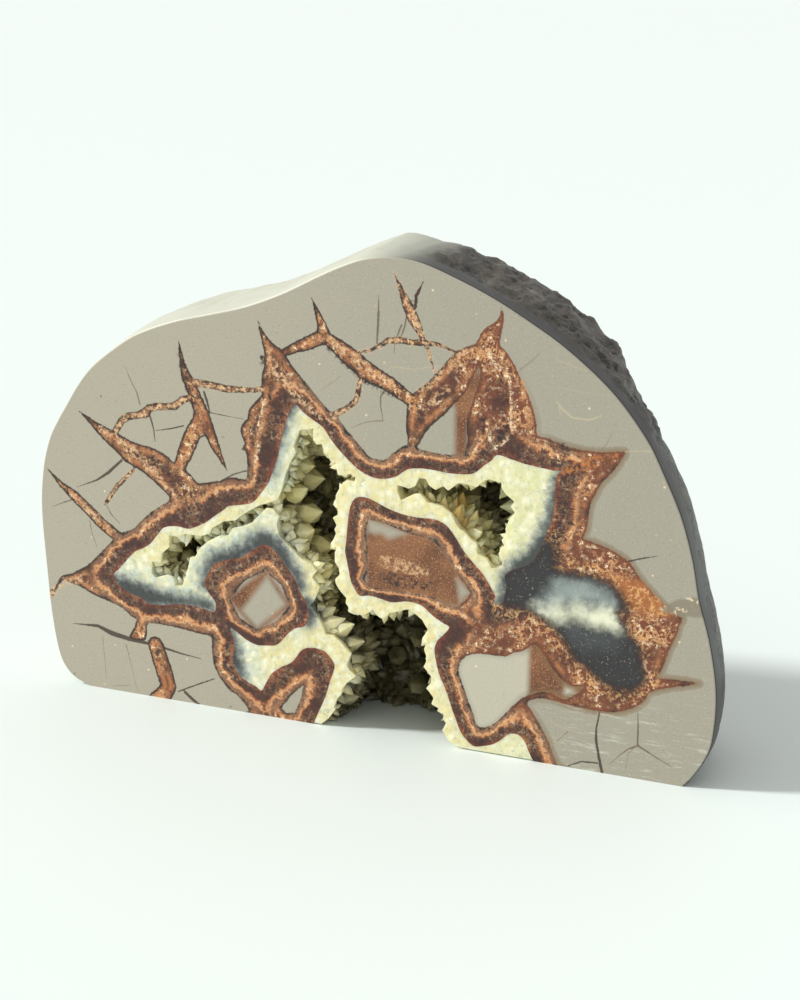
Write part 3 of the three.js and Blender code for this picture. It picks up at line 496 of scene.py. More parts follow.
def makeStoneMesh():
    places, faces = [], []

    def addPlate(outer, depth, step, extra=None):
        found, triangles = plate(outer, step, extra=extra)
        faces.extend(tuple(len(places) + i for i in triangle) for triangle in triangles)
        places.extend(placed(x, depth, z) for x, z in found)

    count = len(ring)
    onBase = 99 * (ring[:, 1] > 0)   # keeps the search to the base
    first, last = sorted(int(np.argmin(abs(ring[:, 0] - x) + onBase)) for x in stone["hollowEnds"])
    for depth in stone["depths"]:
        places += stoneSection(depth)
    for row, depth in enumerate(stone["depths"][:-1]):
        quads = strip(row * count, count)
        faces += quads[:first] + quads[last:] if depth < hollowDepth - 0.01 else quads
    top = len(places) - count
    places.append(tuple(np.mean(places[top:], 0)))
    faces += [(top + i, top + (i + 1) % count, len(places) - 1) for i in range(count)]

    front = np.array([(x / mm, z / mm) for x, _, z in places[:count]])
    outer = np.vstack([front[last:], front[:first + 1]])
    edge = hollowLine if abs(outer[-1][0] - hollowLine[0][0]) < 1 else hollowLine[::-1]
    loop = np.vstack([outer[:-1], edge])
    loop = loop[np.hypot(*(loop - np.roll(loop, 1, 0)).T) > 0.02]
    kept = {}                        # extra points along each vein, thinned
    for stroke in [points for _, points in hairlines + threads] + list(veins.values()):
        line = resampled(stroke, stone["veinStep"])[:, :2]
        run = np.gradient(line, axis=0)
        side = np.column_stack([-run[:, 1], run[:, 0]]) / np.maximum(np.hypot(*run.T), 1e-9)[:, None]
        for point in np.vstack([line + side * offset for offset in stone["veinSides"]]):
            kept.setdefault(tuple(round(c / stone["thin"]) for c in point), point)
    addPlate(loop, 0, stone["step"], np.array(list(kept.values())))

    hollowDepths = [depth for depth in stone["depths"] if depth <= hollowDepth + 0.01]
    for row, depth in enumerate(hollowDepths):
        if row:
            faces += strip(len(places) - len(edge), len(edge), closed=False)
        places += [placed(x, depth, z) for x, z in edge]
    base = [(x / mm, z / mm) for x, _, z in places[first:last + 1]]
    if abs(base[0][0] - edge[-1][0]) > 1:
        base = base[::-1]
    addPlate(np.vstack([edge, base[1:-1]]), hollowDepth, stone["backStep"])
    return newMesh("nodule", places, faces)


stoneMesh = makeStoneMesh()
print("stone shaped")

# What the polished face shows, kept as distances in millimetres on each vertex

glowLines = {                        # x, z and width along each
    "cold": [(47, 37.6, 1.2), (50.5, 41, 3.5), (54, 43.6, 6), (60, 43.6, 6), (64, 42.6, 3)],
    "pale": [(45, 37.4, 0.5), (50, 37.4, 1.4), (56, 38.6, 3), (61, 38.2, 3), (64.5, 38.3, 3.6),
             (66.5, 38.4, 1.5)],
    "mist": [(50, 36.2, 0.5), (55, 34.6, 4), (60, 33.2, 6), (64, 33.6, 4), (67, 36, 1)],
    "flare": [(63, 49.5, 0.5), (67, 47, 3), (71, 44.6, 7), (75.5, 43, 5), (78, 42.6, 2)],
    "glass": [(76.5, 42.5, 1.2), (80.5, 43.4, 4), (84, 44, 5), (87, 44.2, 4.4), (89, 44.4, 3.5)]}
quietDepth = -9.0                    # anything farther out counts as this


def lineDepths(points, lines):
    depths, tone = np.full(len(points), quietDepth), np.zeros(len(points))
    for colour, stroke in lines:
        here = depthInStroke(points, stroke)
        tone = np.where(here > depths, colour, tone)
        depths = np.maximum(depths, here)
    return depths, tone


def deepest(points, areas):
    return np.max([depthInside(points, area) for area in areas], 0)


def markStone(mesh):
    points, depth = placesOf(mesh)
    vein = np.max([depthInside(points, rounded(veinOutline, 2))]
                  + [depthInStroke(points, stroke) for stroke in veins.values()], 0)
    vein = np.minimum(vein, -deepest(points, [rounded(cell, 2) for cell in cells.values()]))
    hair, hairTone = lineDepths(points, hairlines)
    thread, threadTone = lineDepths(points, threads)
    rim, spot = nearest(points, hollowLine, closed=False)
    marks = {"vein": vein, "hair": hair, "hairTone": hairTone, "rim": rim, "thread": thread,
             "stain": np.minimum(deepest(points, stainedAreas), -deepest(points, greyInStain)),
             "threadTone": threadTone, "front": (depth < 0.05) * 1.0,
             "dark": depthInside(points, rounded(darkZone, 2)),
             "heart": depthInside(points, rounded(cells["heart"], 2))}
    marks.update({name: depthInStroke(points, line) for name, line in glowLines.items()})
    store(mesh, {name: np.maximum(values, quietDepth) for name, values in marks.items()})
    store(mesh, {"near": np.column_stack([spot, rim * 0.22])})


markStone(stoneMesh)
print("stone marked")

# The crust: a cut plate flush with the face, toothed walls behind it and the bed its crystals stand on

crust = {"foot": 0.3, "step": 0.6, "bedStep": 1.1, "toothStep": 0.45, "baseStep": 0.8, "floorStep": 1.5,
         "backStep": 3, "capStep": 2, "wallDepths": [0, 0.7, 1.8, 3.2, 5, 7, 9.5, 12, 15, 18, 20.5, 22.2],
         "soften": 9, "recess": 1.1, "room": 0.45, "recessFrom": (0.6, 4.5),
         "ragged": 0.8, "raggedEnd": (15, 20),
         "back": 22.2, "outerDepth": hollowDepth - 0.3, "bedRise": 3.2, "shell": 0.08, "shellFrom": 0.5,
         "bareRows": (2, 3)}                         # first wall rows left bare: tall void, side void


def spread(line, reach, closed):     # each point is averaged with its neighbours
    pad = np.pad(line, ((reach, reach), (0, 0)), "wrap" if closed else "edge")
    window = np.ones(2 * reach + 1) / (2 * reach + 1)
    return np.column_stack([np.convolve(pad[:, k], window, "valid") for k in range(2)])


def wallRings(line, closed):
    soft = spread(line, crust["soften"], closed)
    out = outwards(soft) if closed else outwards(looped(soft))[:-1]
    room = nearest(soft, hollowLine, closed=False)[0]
    goal = soft + out * np.minimum(crust["recess"], crust["room"] * room)[:, None]
    rings = []
    for depth in crust["wallDepths"]:
        share = smoothStep(*crust["recessFrom"], depth)
        shift = np.array([lump(x, depth, z, 0.35) for x, z in goal])
        ragged = share * crust["ragged"] * (1 - smoothStep(*crust["raggedEnd"], depth))
        here = line * (1 - share) + goal * share + out * (shift * ragged)[:, None]
        if not closed:
            here[[0, -1]] = [(line[end][0], crust["foot"]) for end in (0, -1)]
            here[1:-1, 1] = np.maximum(here[1:-1, 1], crust["foot"] + 0.05)
        rings.append(here)
    return rings


def makeCrustMesh():
    places, faces, tags = [], [], []

    def add(newPlaces, newFaces, newTags):
        faces.extend(tuple(len(places) + i for i in face) for face in newFaces)
        places.extend(newPlaces)
        tags.extend(newTags if isinstance(newTags, list) else [newTags] * len(newFaces))

    foot, back = crust["foot"], crust["outerDepth"]
    outer = hollowLine.copy()
    outer[[0, -1], 1] = foot
    outer = outer[outer[:, 1] >= foot]
    tall = resampled(tallVoid, crust["toothStep"])
    side = resampled(sideVoid, crust["toothStep"], True)
    leftBase = resampled([tall[0], outer[0]], crust["step"])
    rightBase = resampled([outer[-1], tall[-1]], crust["step"])
    loop = np.vstack([outer[:-1], rightBase[:-1], tall[::-1][:-1], leftBase[:-1]])
    found, triangles = plate(loop, crust["step"], [side])
    add([placed(x, 0, z) for x, z in found], triangles, 0)

    for line, closed in ((tall, False), (side, True)):
        rings = wallRings(line, closed)
        width = len(line)
        quads = [quad for row in range(len(rings) - 1) for quad in strip(row * width, width, closed)]
        bare = crust["bareRows"][closed] * len(quads) // (len(rings) - 1)
        add([placed(x, depth, z) for here, depth in zip(rings, crust["wallDepths"]) for x, z in here],
            quads, [0] * bare + [1] * (len(quads) - bare))
        backLoop = rings[-1]
        if not closed:               # the tall void opens through the base, along these two columns
            columns = [[(here[end][0], depth) for here, depth in zip(rings, crust["wallDepths"])]
                       for end in (0, -1)]
            baseLine = resampled([backLoop[-1], backLoop[0]], crust["baseStep"])
            backLoop = np.vstack([backLoop[:-1], baseLine[:-1]])
        found, triangles = plate(backLoop, crust["bedStep"])
        rise = np.array([lump(x, 4, z, 0.16) for x, z in found])
        rise = crust["bedRise"] * np.clip(rise + 0.15, -0.35, 1)
        depths = crust["back"] - rise * smoothStep(0, 2.5, nearest(found, backLoop)[0])
        add([placed(x, depth, z) for (x, z), depth in zip(found, depths)], triangles, 1)

    inner = outer - outwards(looped(outer))[:-1] * crust["shell"]
    inner[[0, -1]] = outer[[0, -1]]
    bend = crust["shellFrom"]        # the shell leaves the stone's edge at this depth
    rows = ((0, outer), (bend, inner), (back, inner))
    add([placed(x, depth, z) for depth, line in rows for x, z in line],
        strip(0, len(outer), False) + strip(len(outer), len(outer), False), 0)
    floorLine = resampled([inner[-1], inner[0]], crust["floorStep"])
    found, triangles = plate(np.vstack([inner[:-1], floorLine[:-1]]), crust["backStep"])
    add([placed(x, back, z) for x, z in found], triangles, 0)
    bedBase = resampled([(column[-1][0], crust["back"]) for column in columns], crust["baseStep"])
    capLoop = np.vstack([columns[0][:-1], bedBase, columns[1][::-1][1:],
                         [(x, 0) for x, _ in rightBase[::-1][1:]], [(outer[-1][0], bend)],
                         [(x, back) for x, _ in floorLine], [(outer[0][0], bend)],
                         [(x, 0) for x, _ in leftBase[::-1][:-1]]])
    found, triangles = plate(capLoop, crust["capStep"])
    add([placed(x, depth, foot) for x, depth in found], triangles, 0)
    return newMesh("crystal_crust", places, faces, tags)


crustMesh = makeCrustMesh()
print("crust bed shaped")

# Node helpers: each value is a plain number or colour, or a socket whose tree the new node joins

def put(value, socket):
    if isinstance(value, bpy.types.NodeSocket):
        socket.id_data.links.new(value, socket)
    else:
        socket.default_value = value


def node(tree, kind, inputs=None, **settings):
    made = tree.nodes.new(kind)
    for key, value in settings.items():
        setattr(made, key, value)
    for key, value in (inputs or {}).items():
        put(value, made.inputs[key])
    return made


def maths(operation, *values):
    tree = next(value.id_data for value in values if isinstance(value, bpy.types.NodeSocket))
    return node(tree, "ShaderNodeMath", dict(enumerate(values)), operation=operation).outputs[0]


def times(*values):
    return reduce(lambda first, second: maths("MULTIPLY", first, second), values)


def plus(*values):
    return reduce(lambda first, second: maths("ADD", first, second), values)


def scaled(value, factor, shift):    # value times factor, plus shift
    return maths("MULTIPLY_ADD", value, factor, shift)


def span(value, low, high, curve="SMOOTHSTEP"):      # 0 below low, 1 above high
    inputs = {0: value, 1: low, 2: high, 3: 0.0, 4: 1.0}
    return node(value.id_data, "ShaderNodeMapRange", inputs, interpolation_type=curve).outputs[0]


def noiseIn(vector, scale, detail, roughness):
    inputs = {"Vector": vector, "Scale": scale, "Detail": detail, "Roughness": roughness}
    return node(vector.id_data, "ShaderNodeTexNoise", inputs).outputs["Fac"]


def cellsIn(vector, scale, **settings):
    return node(vector.id_data, "ShaderNodeTexVoronoi", {"Vector": vector, "Scale": scale}, **settings)


def firstPart(colour):
    return node(colour.id_data, "ShaderNodeSeparateColor", {0: colour}).outputs[0]


def ramp(value, stops):
    made = node(value.id_data, "ShaderNodeValToRGB", {0: value})
    places = made.color_ramp.elements
    while len(places) < len(stops):
        places.new(0.5)
    for place, (at, colour) in zip(places, stops):
        place.position, place.color = at, colour
    return made.outputs[0]


def painter(look):                   # lays colours of one look over each other
    def paint(base, *layers):        # a layer is its share, its colour and a strength under 1
        for share, colour, *strength in layers:
            made = node(share.id_data, "ShaderNodeMix", {0: times(share, *strength)}, data_type="RGBA")
            for index, value in ((6, base), (7, colour)):
                put(look[value] if isinstance(value, str) else value, made.inputs[index])
            base = made.outputs[2]
        return base
    return paint


def attribute(tree, name, output="Fac"):
    return node(tree, "ShaderNodeAttribute", attribute_name=name).outputs[output]


def newMaterial(name):
    material = bpy.data.materials.new(name)
    material.use_nodes = True
    return material, material.node_tree, material.node_tree.nodes["Principled BSDF"].inputs


def depthBehindFace(y):
    return maths("DIVIDE", maths("SUBTRACT", y, facePlane), mm)


def addObject(name, mesh, materials=()):
    made = bpy.data.objects.new(name, mesh)
    bpy.context.scene.collection.objects.link(made)
    for material in materials:
        mesh.materials.append(material)
    return made


def newGroup(name, kind, given, results):
    group = bpy.data.node_groups.new(name, kind)
    for way, sockets in (("INPUT", given), ("OUTPUT", results)):
        for label, socketKind in sockets.items():
            group.interface.new_socket(label, in_out=way, socket_type="NodeSocket" + socketKind)
    return group, group.nodes.new("NodeGroupInput").outputs, group.nodes.new("NodeGroupOutput").inputs


def makeGrainGroup():                # fine and broad mottling shared by the stone and the crystals
    inputs, outputs = {"Vector": "Vector", "Size": "Float"}, {"Fine": "Float", "Broad": "Float"}
    group, given, result = newGroup("surfaceGrain", "ShaderNodeTree", inputs, outputs)
    perMetre = maths("DIVIDE", 1.0, given["Size"])
    put(noiseIn(given["Vector"], perMetre, 4, 0.62), result["Fine"])
    put(noiseIn(given["Vector"], times(perMetre, 0.14), 3, 0.5), result["Broad"])
    return group


grainGroup = makeGrainGroup()


def grain(vector, size):             # size of the finest grain in metres
    made = node(vector.id_data, "ShaderNodeGroup", node_tree=grainGroup)
    put(vector, made.inputs["Vector"])
    put(size, made.inputs["Size"])
    return made.outputs["Fine"], made.outputs["Broad"]


stoneLook = {
    "grain": 0.0011, "tinyGrain": 0.00042, "relief": 0.0012,
    "polish": (0.22, 0.22, 0.22, 1), "groundSide": (0.42, 0.42, 0.42, 1),        # roughness
    "left": rgb(175, 168, 149), "right": rgb(165, 159, 142), "heart": rgb(194, 188, 168),
    "speckDark": rgb(112, 104, 90), "speckPale": rgb(214, 206, 188), "stained": rgb(104, 62, 38),
    "stainedPale": rgb(142, 94, 60), "halo": rgb(126, 98, 58), "bright": rgb(255, 226, 184),
    "tan": rgb(226, 166, 110), "umber": rgb(40, 25, 22), "rust": rgb(118, 62, 36),
    "hairDark": rgb(58, 38, 26), "hairCream": rgb(226, 206, 164), "side": rgb(64, 64, 60),
    # The pale side colour is the ground stone's colour raised by a painted highlight
    "sideDark": rgb(22, 22, 20), "sidePaleAndLit": rgb(198, 200, 180), "skin": rgb(84, 77, 66),
    # The smooth side colour is painted dark reflection next to the polished face
    "smoothSideShade": rgb(52, 52, 50),
    "deepCalcite": rgb(44, 43, 44), "coldGlow": rgb(146, 156, 152), "paleGlow": rgb(236, 236, 206),
    "mist": rgb(68, 71, 72), "amber": rgb(150, 78, 36), "flare": rgb(186, 112, 54),
    "gold": rgb(240, 186, 122), "scuff": rgb(222, 222, 208), "paleThread": rgb(224, 182, 138),
    "glass": rgb(134, 124, 104),
    "nearHollow": [                  # from the mudstone in to the hollow's rim
        (0.0, rgb(44, 32, 27)), (0.05, rgb(78, 54, 42)), (0.12, rgb(142, 104, 78)),
        (0.24, rgb(126, 84, 60)), (0.34, rgb(220, 164, 114)), (0.41, rgb(192, 124, 76)),
        (0.5, rgb(100, 56, 38)), (0.6, rgb(58, 34, 27)), (0.82, rgb(60, 33, 28)), (0.93, rgb(84, 38, 28)),
        (1.0, rgb(112, 54, 36))],
    "openVein": [                    # from the vein's edge to 5 mm inside it
        (0.0, rgb(40, 26, 21)), (0.07, rgb(70, 42, 30)), (0.16, rgb(134, 80, 50)),
        (0.3, rgb(184, 118, 72)), (0.5, rgb(112, 62, 40)), (1.0, rgb(92, 50, 34))]}
stoneNoises = {                      # per metre, its detail and roughness
    "ragged": (520, 4, 0.65), "soft": (150, 2, 0.5), "clouds": (190, 5, 0.62), "backSkin": (45, 4, 0.6),
    "brownSkin": (90, 5, 0.65), "scuffs": (130, 5, 0.7), "blotches": (330, 5, 0.75), "sparks": (640, 5, 0.8),
    "pits": (900, 4, 0.75), "glints": (1700, 3, 0.7), "flakes": (820, 5, 0.8), "weathered": (60, 5, 0.7),
    "pitted": (310, 6, 0.78)}
stoneMasks = {                       # where a noise starts to show and where it is full
    "scuffs": (0.53, 0.7), "blotches": (0.42, 0.62), "sparks": (0.54, 0.6), "pits": (0.44, 0.34),
    "glints": (0.6, 0.7), "flakes": (0.44, 0.56), "weathered": (0.46, 0.66), "pitted": (0.53, 0.62)}
stoneZones = {                       # places along the face in metres where a tone starts and ends, painted shade among them
    "rightTone": (-0.06, 0.05), "haloRight": (0.036, 0.056), "scuffRight": (0.044, 0.056),
    "scuffLow": (0.024, 0.012), "redRight": (0.02, 0.034), "darkAndShadedSide": (-0.002, 0.022),
    "roughSide": (0.008, 0.024)}


def makeStoneMaterial():
    look, zone = stoneLook, stoneZones
    material, tree, shader = newMaterial("polishedSeptarian")
    paint, place = painter(look), node(tree, "ShaderNodeTexCoord").outputs["Object"]
    x, y, z = node(tree, "ShaderNodeSeparateXYZ", {0: place}).outputs
    fine, broad = grain(place, look["grain"])
    tiny = grain(place, look["tinyGrain"])[0]
    wobble = scaled(fine, 0.8, -0.4)

    def mark(name):
        return attribute(tree, name)

    def rawNoise(name, vector=place):
        return noiseIn(vector, *stoneNoises[name])

    def pattern(name, vector=place):
        return span(rawNoise(name, vector), *stoneMasks[name])

    def dots(scale, low, high):
        return span(cellsIn(place, scale).outputs["Distance"], low, high)

    vein, rim, front = plus(mark("vein"), wobble), mark("rim"), mark("front")
    ragged = rawNoise("ragged")

    # Grey mudstone
    stained = paint("stained", (span(broad, 0.35, 0.65), "stainedPale"),
                    (span(tiny, 0.52, 0.68), "tan", 0.6))
    halo = scaled(span(vein, -1.35, -1.0), 0.4, times(span(vein, -1.1, 0.0), 0.3))
    slanted = node(tree, "ShaderNodeMapping",
                   {"Vector": place, "Rotation": (0.0, 0.6, 0.0), "Scale": (1.0, 1.0, 7.0)}).outputs[0]
    corner = times(span(x, *zone["scuffRight"]), span(z, *zone["scuffLow"]))
    hair, hairTone = plus(mark("hair"), times(wobble, 0.4)), mark("hairTone")
    matrix = paint(
        "left", (span(x, *zone["rightTone"]), "right"), (span(mark("heart"), -1.0, 1.5), "heart"),
        (span(tiny, 0.58, 0.7), "speckDark", 0.5), (span(tiny, 0.42, 0.3), "speckPale", 0.5),
        (times(dots(260, 0.1, 0.05), span(broad, 0.48, 0.6)), "bright", 0.7),
        (times(dots(190, 0.09, 0.04), span(broad, 0.52, 0.4)), "speckDark", 0.7),
        (span(mark("stain"), -1.0, 1.2), stained), (times(halo, span(x, *zone["haloRight"])), "halo"),
        (times(pattern("scuffs", slanted), corner), "scuff", 0.55),
        (times(span(hair, -0.05, 0.18), scaled(hairTone, -0.6, 0.9)),
         paint("hairDark", (hairTone, "hairCream"))))

    # Brown calcite: bands along the hollow, blotched veins farther out
    depth = maths("MAXIMUM", vein, 0.0)
    across = maths("DIVIDE", depth, plus(maths("MAXIMUM", vein, 0.01), rim))
    fibres = noiseIn(attribute(tree, "near", "Vector"), 2.6, 4, 0.65)
    for wander, amount in ((fibres, 0.3), (ragged, 0.62), (rawNoise("soft"), 0.5)):
        across = plus(across, scaled(wander, amount, -amount / 2))
    farRim = span(rim, 4.6, 7.6)
    redEnd = times(span(x, *zone["redRight"]), farRim)
    bands = paint(ramp(across, look["nearHollow"]),
                  (times(span(fibres, 0.46, 0.62), span(across, 0.5, 0.62)), "rust", 0.3),
                  (times(span(rim, 1.3, 0.1), span(broad, 0.5, 0.62)), "amber", 0.6))
    blotched = paint(ramp(times(depth, 0.2), look["openVein"]), (pattern("blotches"), "umber", 0.75))
    streak = span(maths("ABSOLUTE", plus(across, -0.36)), 0.16, 0.03)
    onStreak = maths("MAXIMUM", times(maths("MAXIMUM", streak, 0.3), maths("SUBTRACT", 1.0, farRim)),
                     times(farRim, span(vein, 0.2, 0.9)))
    ropes = span(maths("ABSOLUTE", plus(ragged, -0.5)), 0.07, 0.01)
    dense = span(broad, scaled(redEnd, 0.1, 0.36), 0.62, "LINEAR")
    sparks = times(pattern("sparks"), onStreak, span(broad, 0.36, 0.54))
    brown = paint(bands, (farRim, blotched), (times(redEnd, span(broad, 0.32, 0.5)), "rust"),
                  (times(ropes, dense, onStreak), "tan", 0.8), (sparks, "bright", 0.95),
                  (pattern("pits"), "umber", 0.55))

    # Dark clear calcite at the right, with its glow and the flare beside it
    dark = plus(mark("dark"), times(wobble, 3.0), scaled(ragged, 3.0, -1.5))
    shift = scaled(rawNoise("clouds"), 9.0, -4.5)
    clear = paint("deepCalcite", (span(plus(mark("mist"), shift), -3.0, 3.0), "mist"),
                  (span(plus(mark("cold"), shift), -3.6, 3.2), "coldGlow"),
                  (span(plus(mark("pale"), shift), -3.4, 3.0), "paleGlow"),
                  (pattern("glints"), "paleGlow", 0.3))
    flare = span(plus(mark("flare"), scaled(ragged, 5.0, -2.5)), -2.0, 2.0)
    goldRing = times(ropes, span(fine, 0.42, 0.58), maths("MAXIMUM", span(dark, -4.6, -0.8), flare))
    brown = paint(brown, (flare, "flare", 0.7), (goldRing, "gold", 0.85),
                  (span(dark, -2.2, 1.0), "umber"), (span(dark, -0.4, 2.2), clear))

    # The face, with its threads and the glassy patch at the right edge
    threadColour = ramp(mark("threadTone"), [(0.0, look["umber"]), (0.6, look["flare"]),
                                             (0.85, look["paleThread"]), (1.0, look["bright"])])
    thread = span(plus(mark("thread"), scaled(fine, 3.0, -1.2)), -0.5, 0.5)
    thread = times(thread, pattern("flakes"), span(ragged, 0.36, 0.52))
    face = paint(matrix, (span(vein, -0.14, 0.14), brown), (thread, threadColour),
                 (span(plus(mark("glass"), wobble), -0.3, 0.5),
                  paint("glass", (span(ragged, 0.56, 0.66), "bright")), 0.8))

    # The sides and the back: pale and ground at the left, made paler there as a painted highlight of the lit
    # side; dark and rough elsewhere, that dark partly the rind's own colour and partly painted shade
    deep = depthBehindFace(y)
    backSkin = span(scaled(rawNoise("backSkin"), 16.0, deep), 45.0, 50.0)
    roughSide = maths("MAXIMUM", span(x, *zone["roughSide"]), backSkin)
    rough = times(roughSide, span(deep, 3.0, 8.0))
    chips = cellsIn(place, 170)
    put(2.0, chips.inputs["Detail"])
    put(0.6, chips.inputs["Roughness"])
    chip, pitted = firstPart(chips.outputs["Color"]), pattern("pitted")
    brownSkin = span(plus(rawNoise("brownSkin"), times(chip, 0.12)), 0.48, 0.66)
    # Pale at the left with a painted highlight, darker towards the right: partly rind colour, partly painted
    # shade
    side = paint("sidePaleAndLit", (maths("MAXIMUM", span(x, *zone["darkAndShadedSide"]), backSkin), "side"),
                 (times(pattern("weathered"), 0.45, span(deep, 3.0, 12.0)), "left"),
                 # Painted dark reflection on the smooth band next to the face
                 (times(roughSide, span(deep, 8.0, 4.0)), "smoothSideShade"), (times(brownSkin, rough), "skin"),
                 (times(pitted, rough), "sideDark", 0.8))

    put(paint(side, (span(front, 0.4, 0.6), face)), shader["Base Color"])
    put(paint("groundSide", (front, "polish")), shader["Roughness"])
    onSide = scaled(times(rough, maths("SUBTRACT", 1.0, front)), 0.75, 0.02)
    height = scaled(pitted, -1.2, scaled(chip, 0.8, fine))
    bump = node(tree, "ShaderNodeBump", {"Strength": onSide, "Distance": look["relief"], "Height": height})
    put(bump.outputs[0], shader["Normal"])
    return material


stoneMaterial = makeStoneMaterial()
print("stone material made")

# Calcite points grow on the crust's bed: a seeded tree of nodes, then one plain mesh

crystals = {"spacing": 1.6, "smallest": 0.5, "largest": 1.25, "lean": 0.55, "seed": 23, "belly": 0.62,
            "shapes": [(6, 1.45, 3.6), (6, 1.7, 3.1), (5, 1.35, 3.0), (6, 1.15, 3.8)],    # sides, size
            "most": 900000.0, "bigBelly": (0.86, 0.45), "faceGap": 0.03}
bigCrystals = [                      # root x, depth, z; direction; length and radius, all in millimetres
    ((-20, 12, 73), (1, -0.6, -0.5), 8, 2.6), ((-19.5, 15, 69), (1, -0.5, -0.35), 9, 3.2), ((-21, 10, 64),
    (1, -0.6, 0.1), 8, 2.8), ((-22, 14, 59), (1, -0.5, 0.2), 10, 3.6), ((-22, 9, 56), (1, -0.5, 0.5),
    7, 2.6), ((-21, 12, 50), (1, -0.5, 0.35), 9, 3.2), ((-20, 8, 46), (1, -0.6, 0.5), 8, 3),
    ((-17, 11, 43), (1, -0.5, 0.2), 8, 2.8), ((-15, 8, 38), (1, -0.5, 0.4), 7, 2.8), ((-14, 5, 34),
    (1, -0.3, 0.5), 6, 2.4), ((-12, 4.5, 27), (0.8, -0.3, 0.6), 6, 2.4), ((-11, 3.5, 24.5),
    (0.9, -0.15, 0.5), 7.5, 2.7), ((-7.5, 4, 24), (0.9, -0.3, 0.5), 6.5, 2.4), ((-5, 5, 21),
    (1, -0.4, 0.3), 6, 2.4), ((-6, 4, 12.5), (1, -0.3, 0.4), 6.5, 2.3), ((-7, 6, 6), (1, -0.4, 0.3),
    6, 2.4), ((-3, 14, 45), (-1, -0.5, 0.1), 6, 2.4), ((-3, 12, 57), (-1, -0.5, 0.2), 6, 2.6),
    ((9, 19, 20), (0.1, -1, 0.2), 6, 3.2), ((2, 20, 14), (0.2, -1, 0.2), 6, 3), ((14, 20, 12),
    (-0.3, -1, 0.3), 7, 3.4), ((8, 20, 7), (0, -1, 0.3), 6, 3.2), ((17, 18, 22), (-0.5, -1, 0), 6, 3),
    ((-2, 20, 30), (0.2, -1, 0.1), 6, 3), ((-50, 12, 42), (0.5, -0.8, -0.5), 5, 2.2), ((-54, 12, 35),
    (0.6, -0.8, 0.2), 6, 2.4), ((36, 12, 66), (-0.4, -0.8, -0.7), 7, 2.8), ((40, 10, 60), (-0.9, -0.5, 0),
    7, 2.8)]
amberRow = [                         # tip x, depth, z; lean to the right; length and radius
    ((9.8, 3.5, 63.5), 0, 4.5, 1.5), ((12.6, 4.5, 62.8), 0.05, 4.5, 1.7), ((14.6, 3.2, 62),
    0.1, 4.5, 1.5), ((16.7, 3.5, 62.6), 0.1, 5, 1.8), ((18.9, 5, 61.8), 0.1, 5, 1.6), ((21.2, 3.5, 62),
    0.2, 6, 1.9), ((23.6, 5, 61.4), 0.3, 6, 1.8), ((25.6, 3.2, 60.7), 0.35, 7, 2), ((26.8, 4, 57.4),
    0.6, 5.5, 1.8), ((27.5, 3, 54.8), 0.7, 4.5, 1.6), ((29.4, 3.5, 52.6), 0.7, 4.5, 1.6),
    ((31.2, 3.5, 50.8), 0.7, 4, 1.5), ((33, 4.5, 49.8), 0.3, 4, 1.5), ((24.5, 7, 62.5), 0.3, 6, 2),
    ((28.6, 6, 58.8), 0.5, 6, 2)]


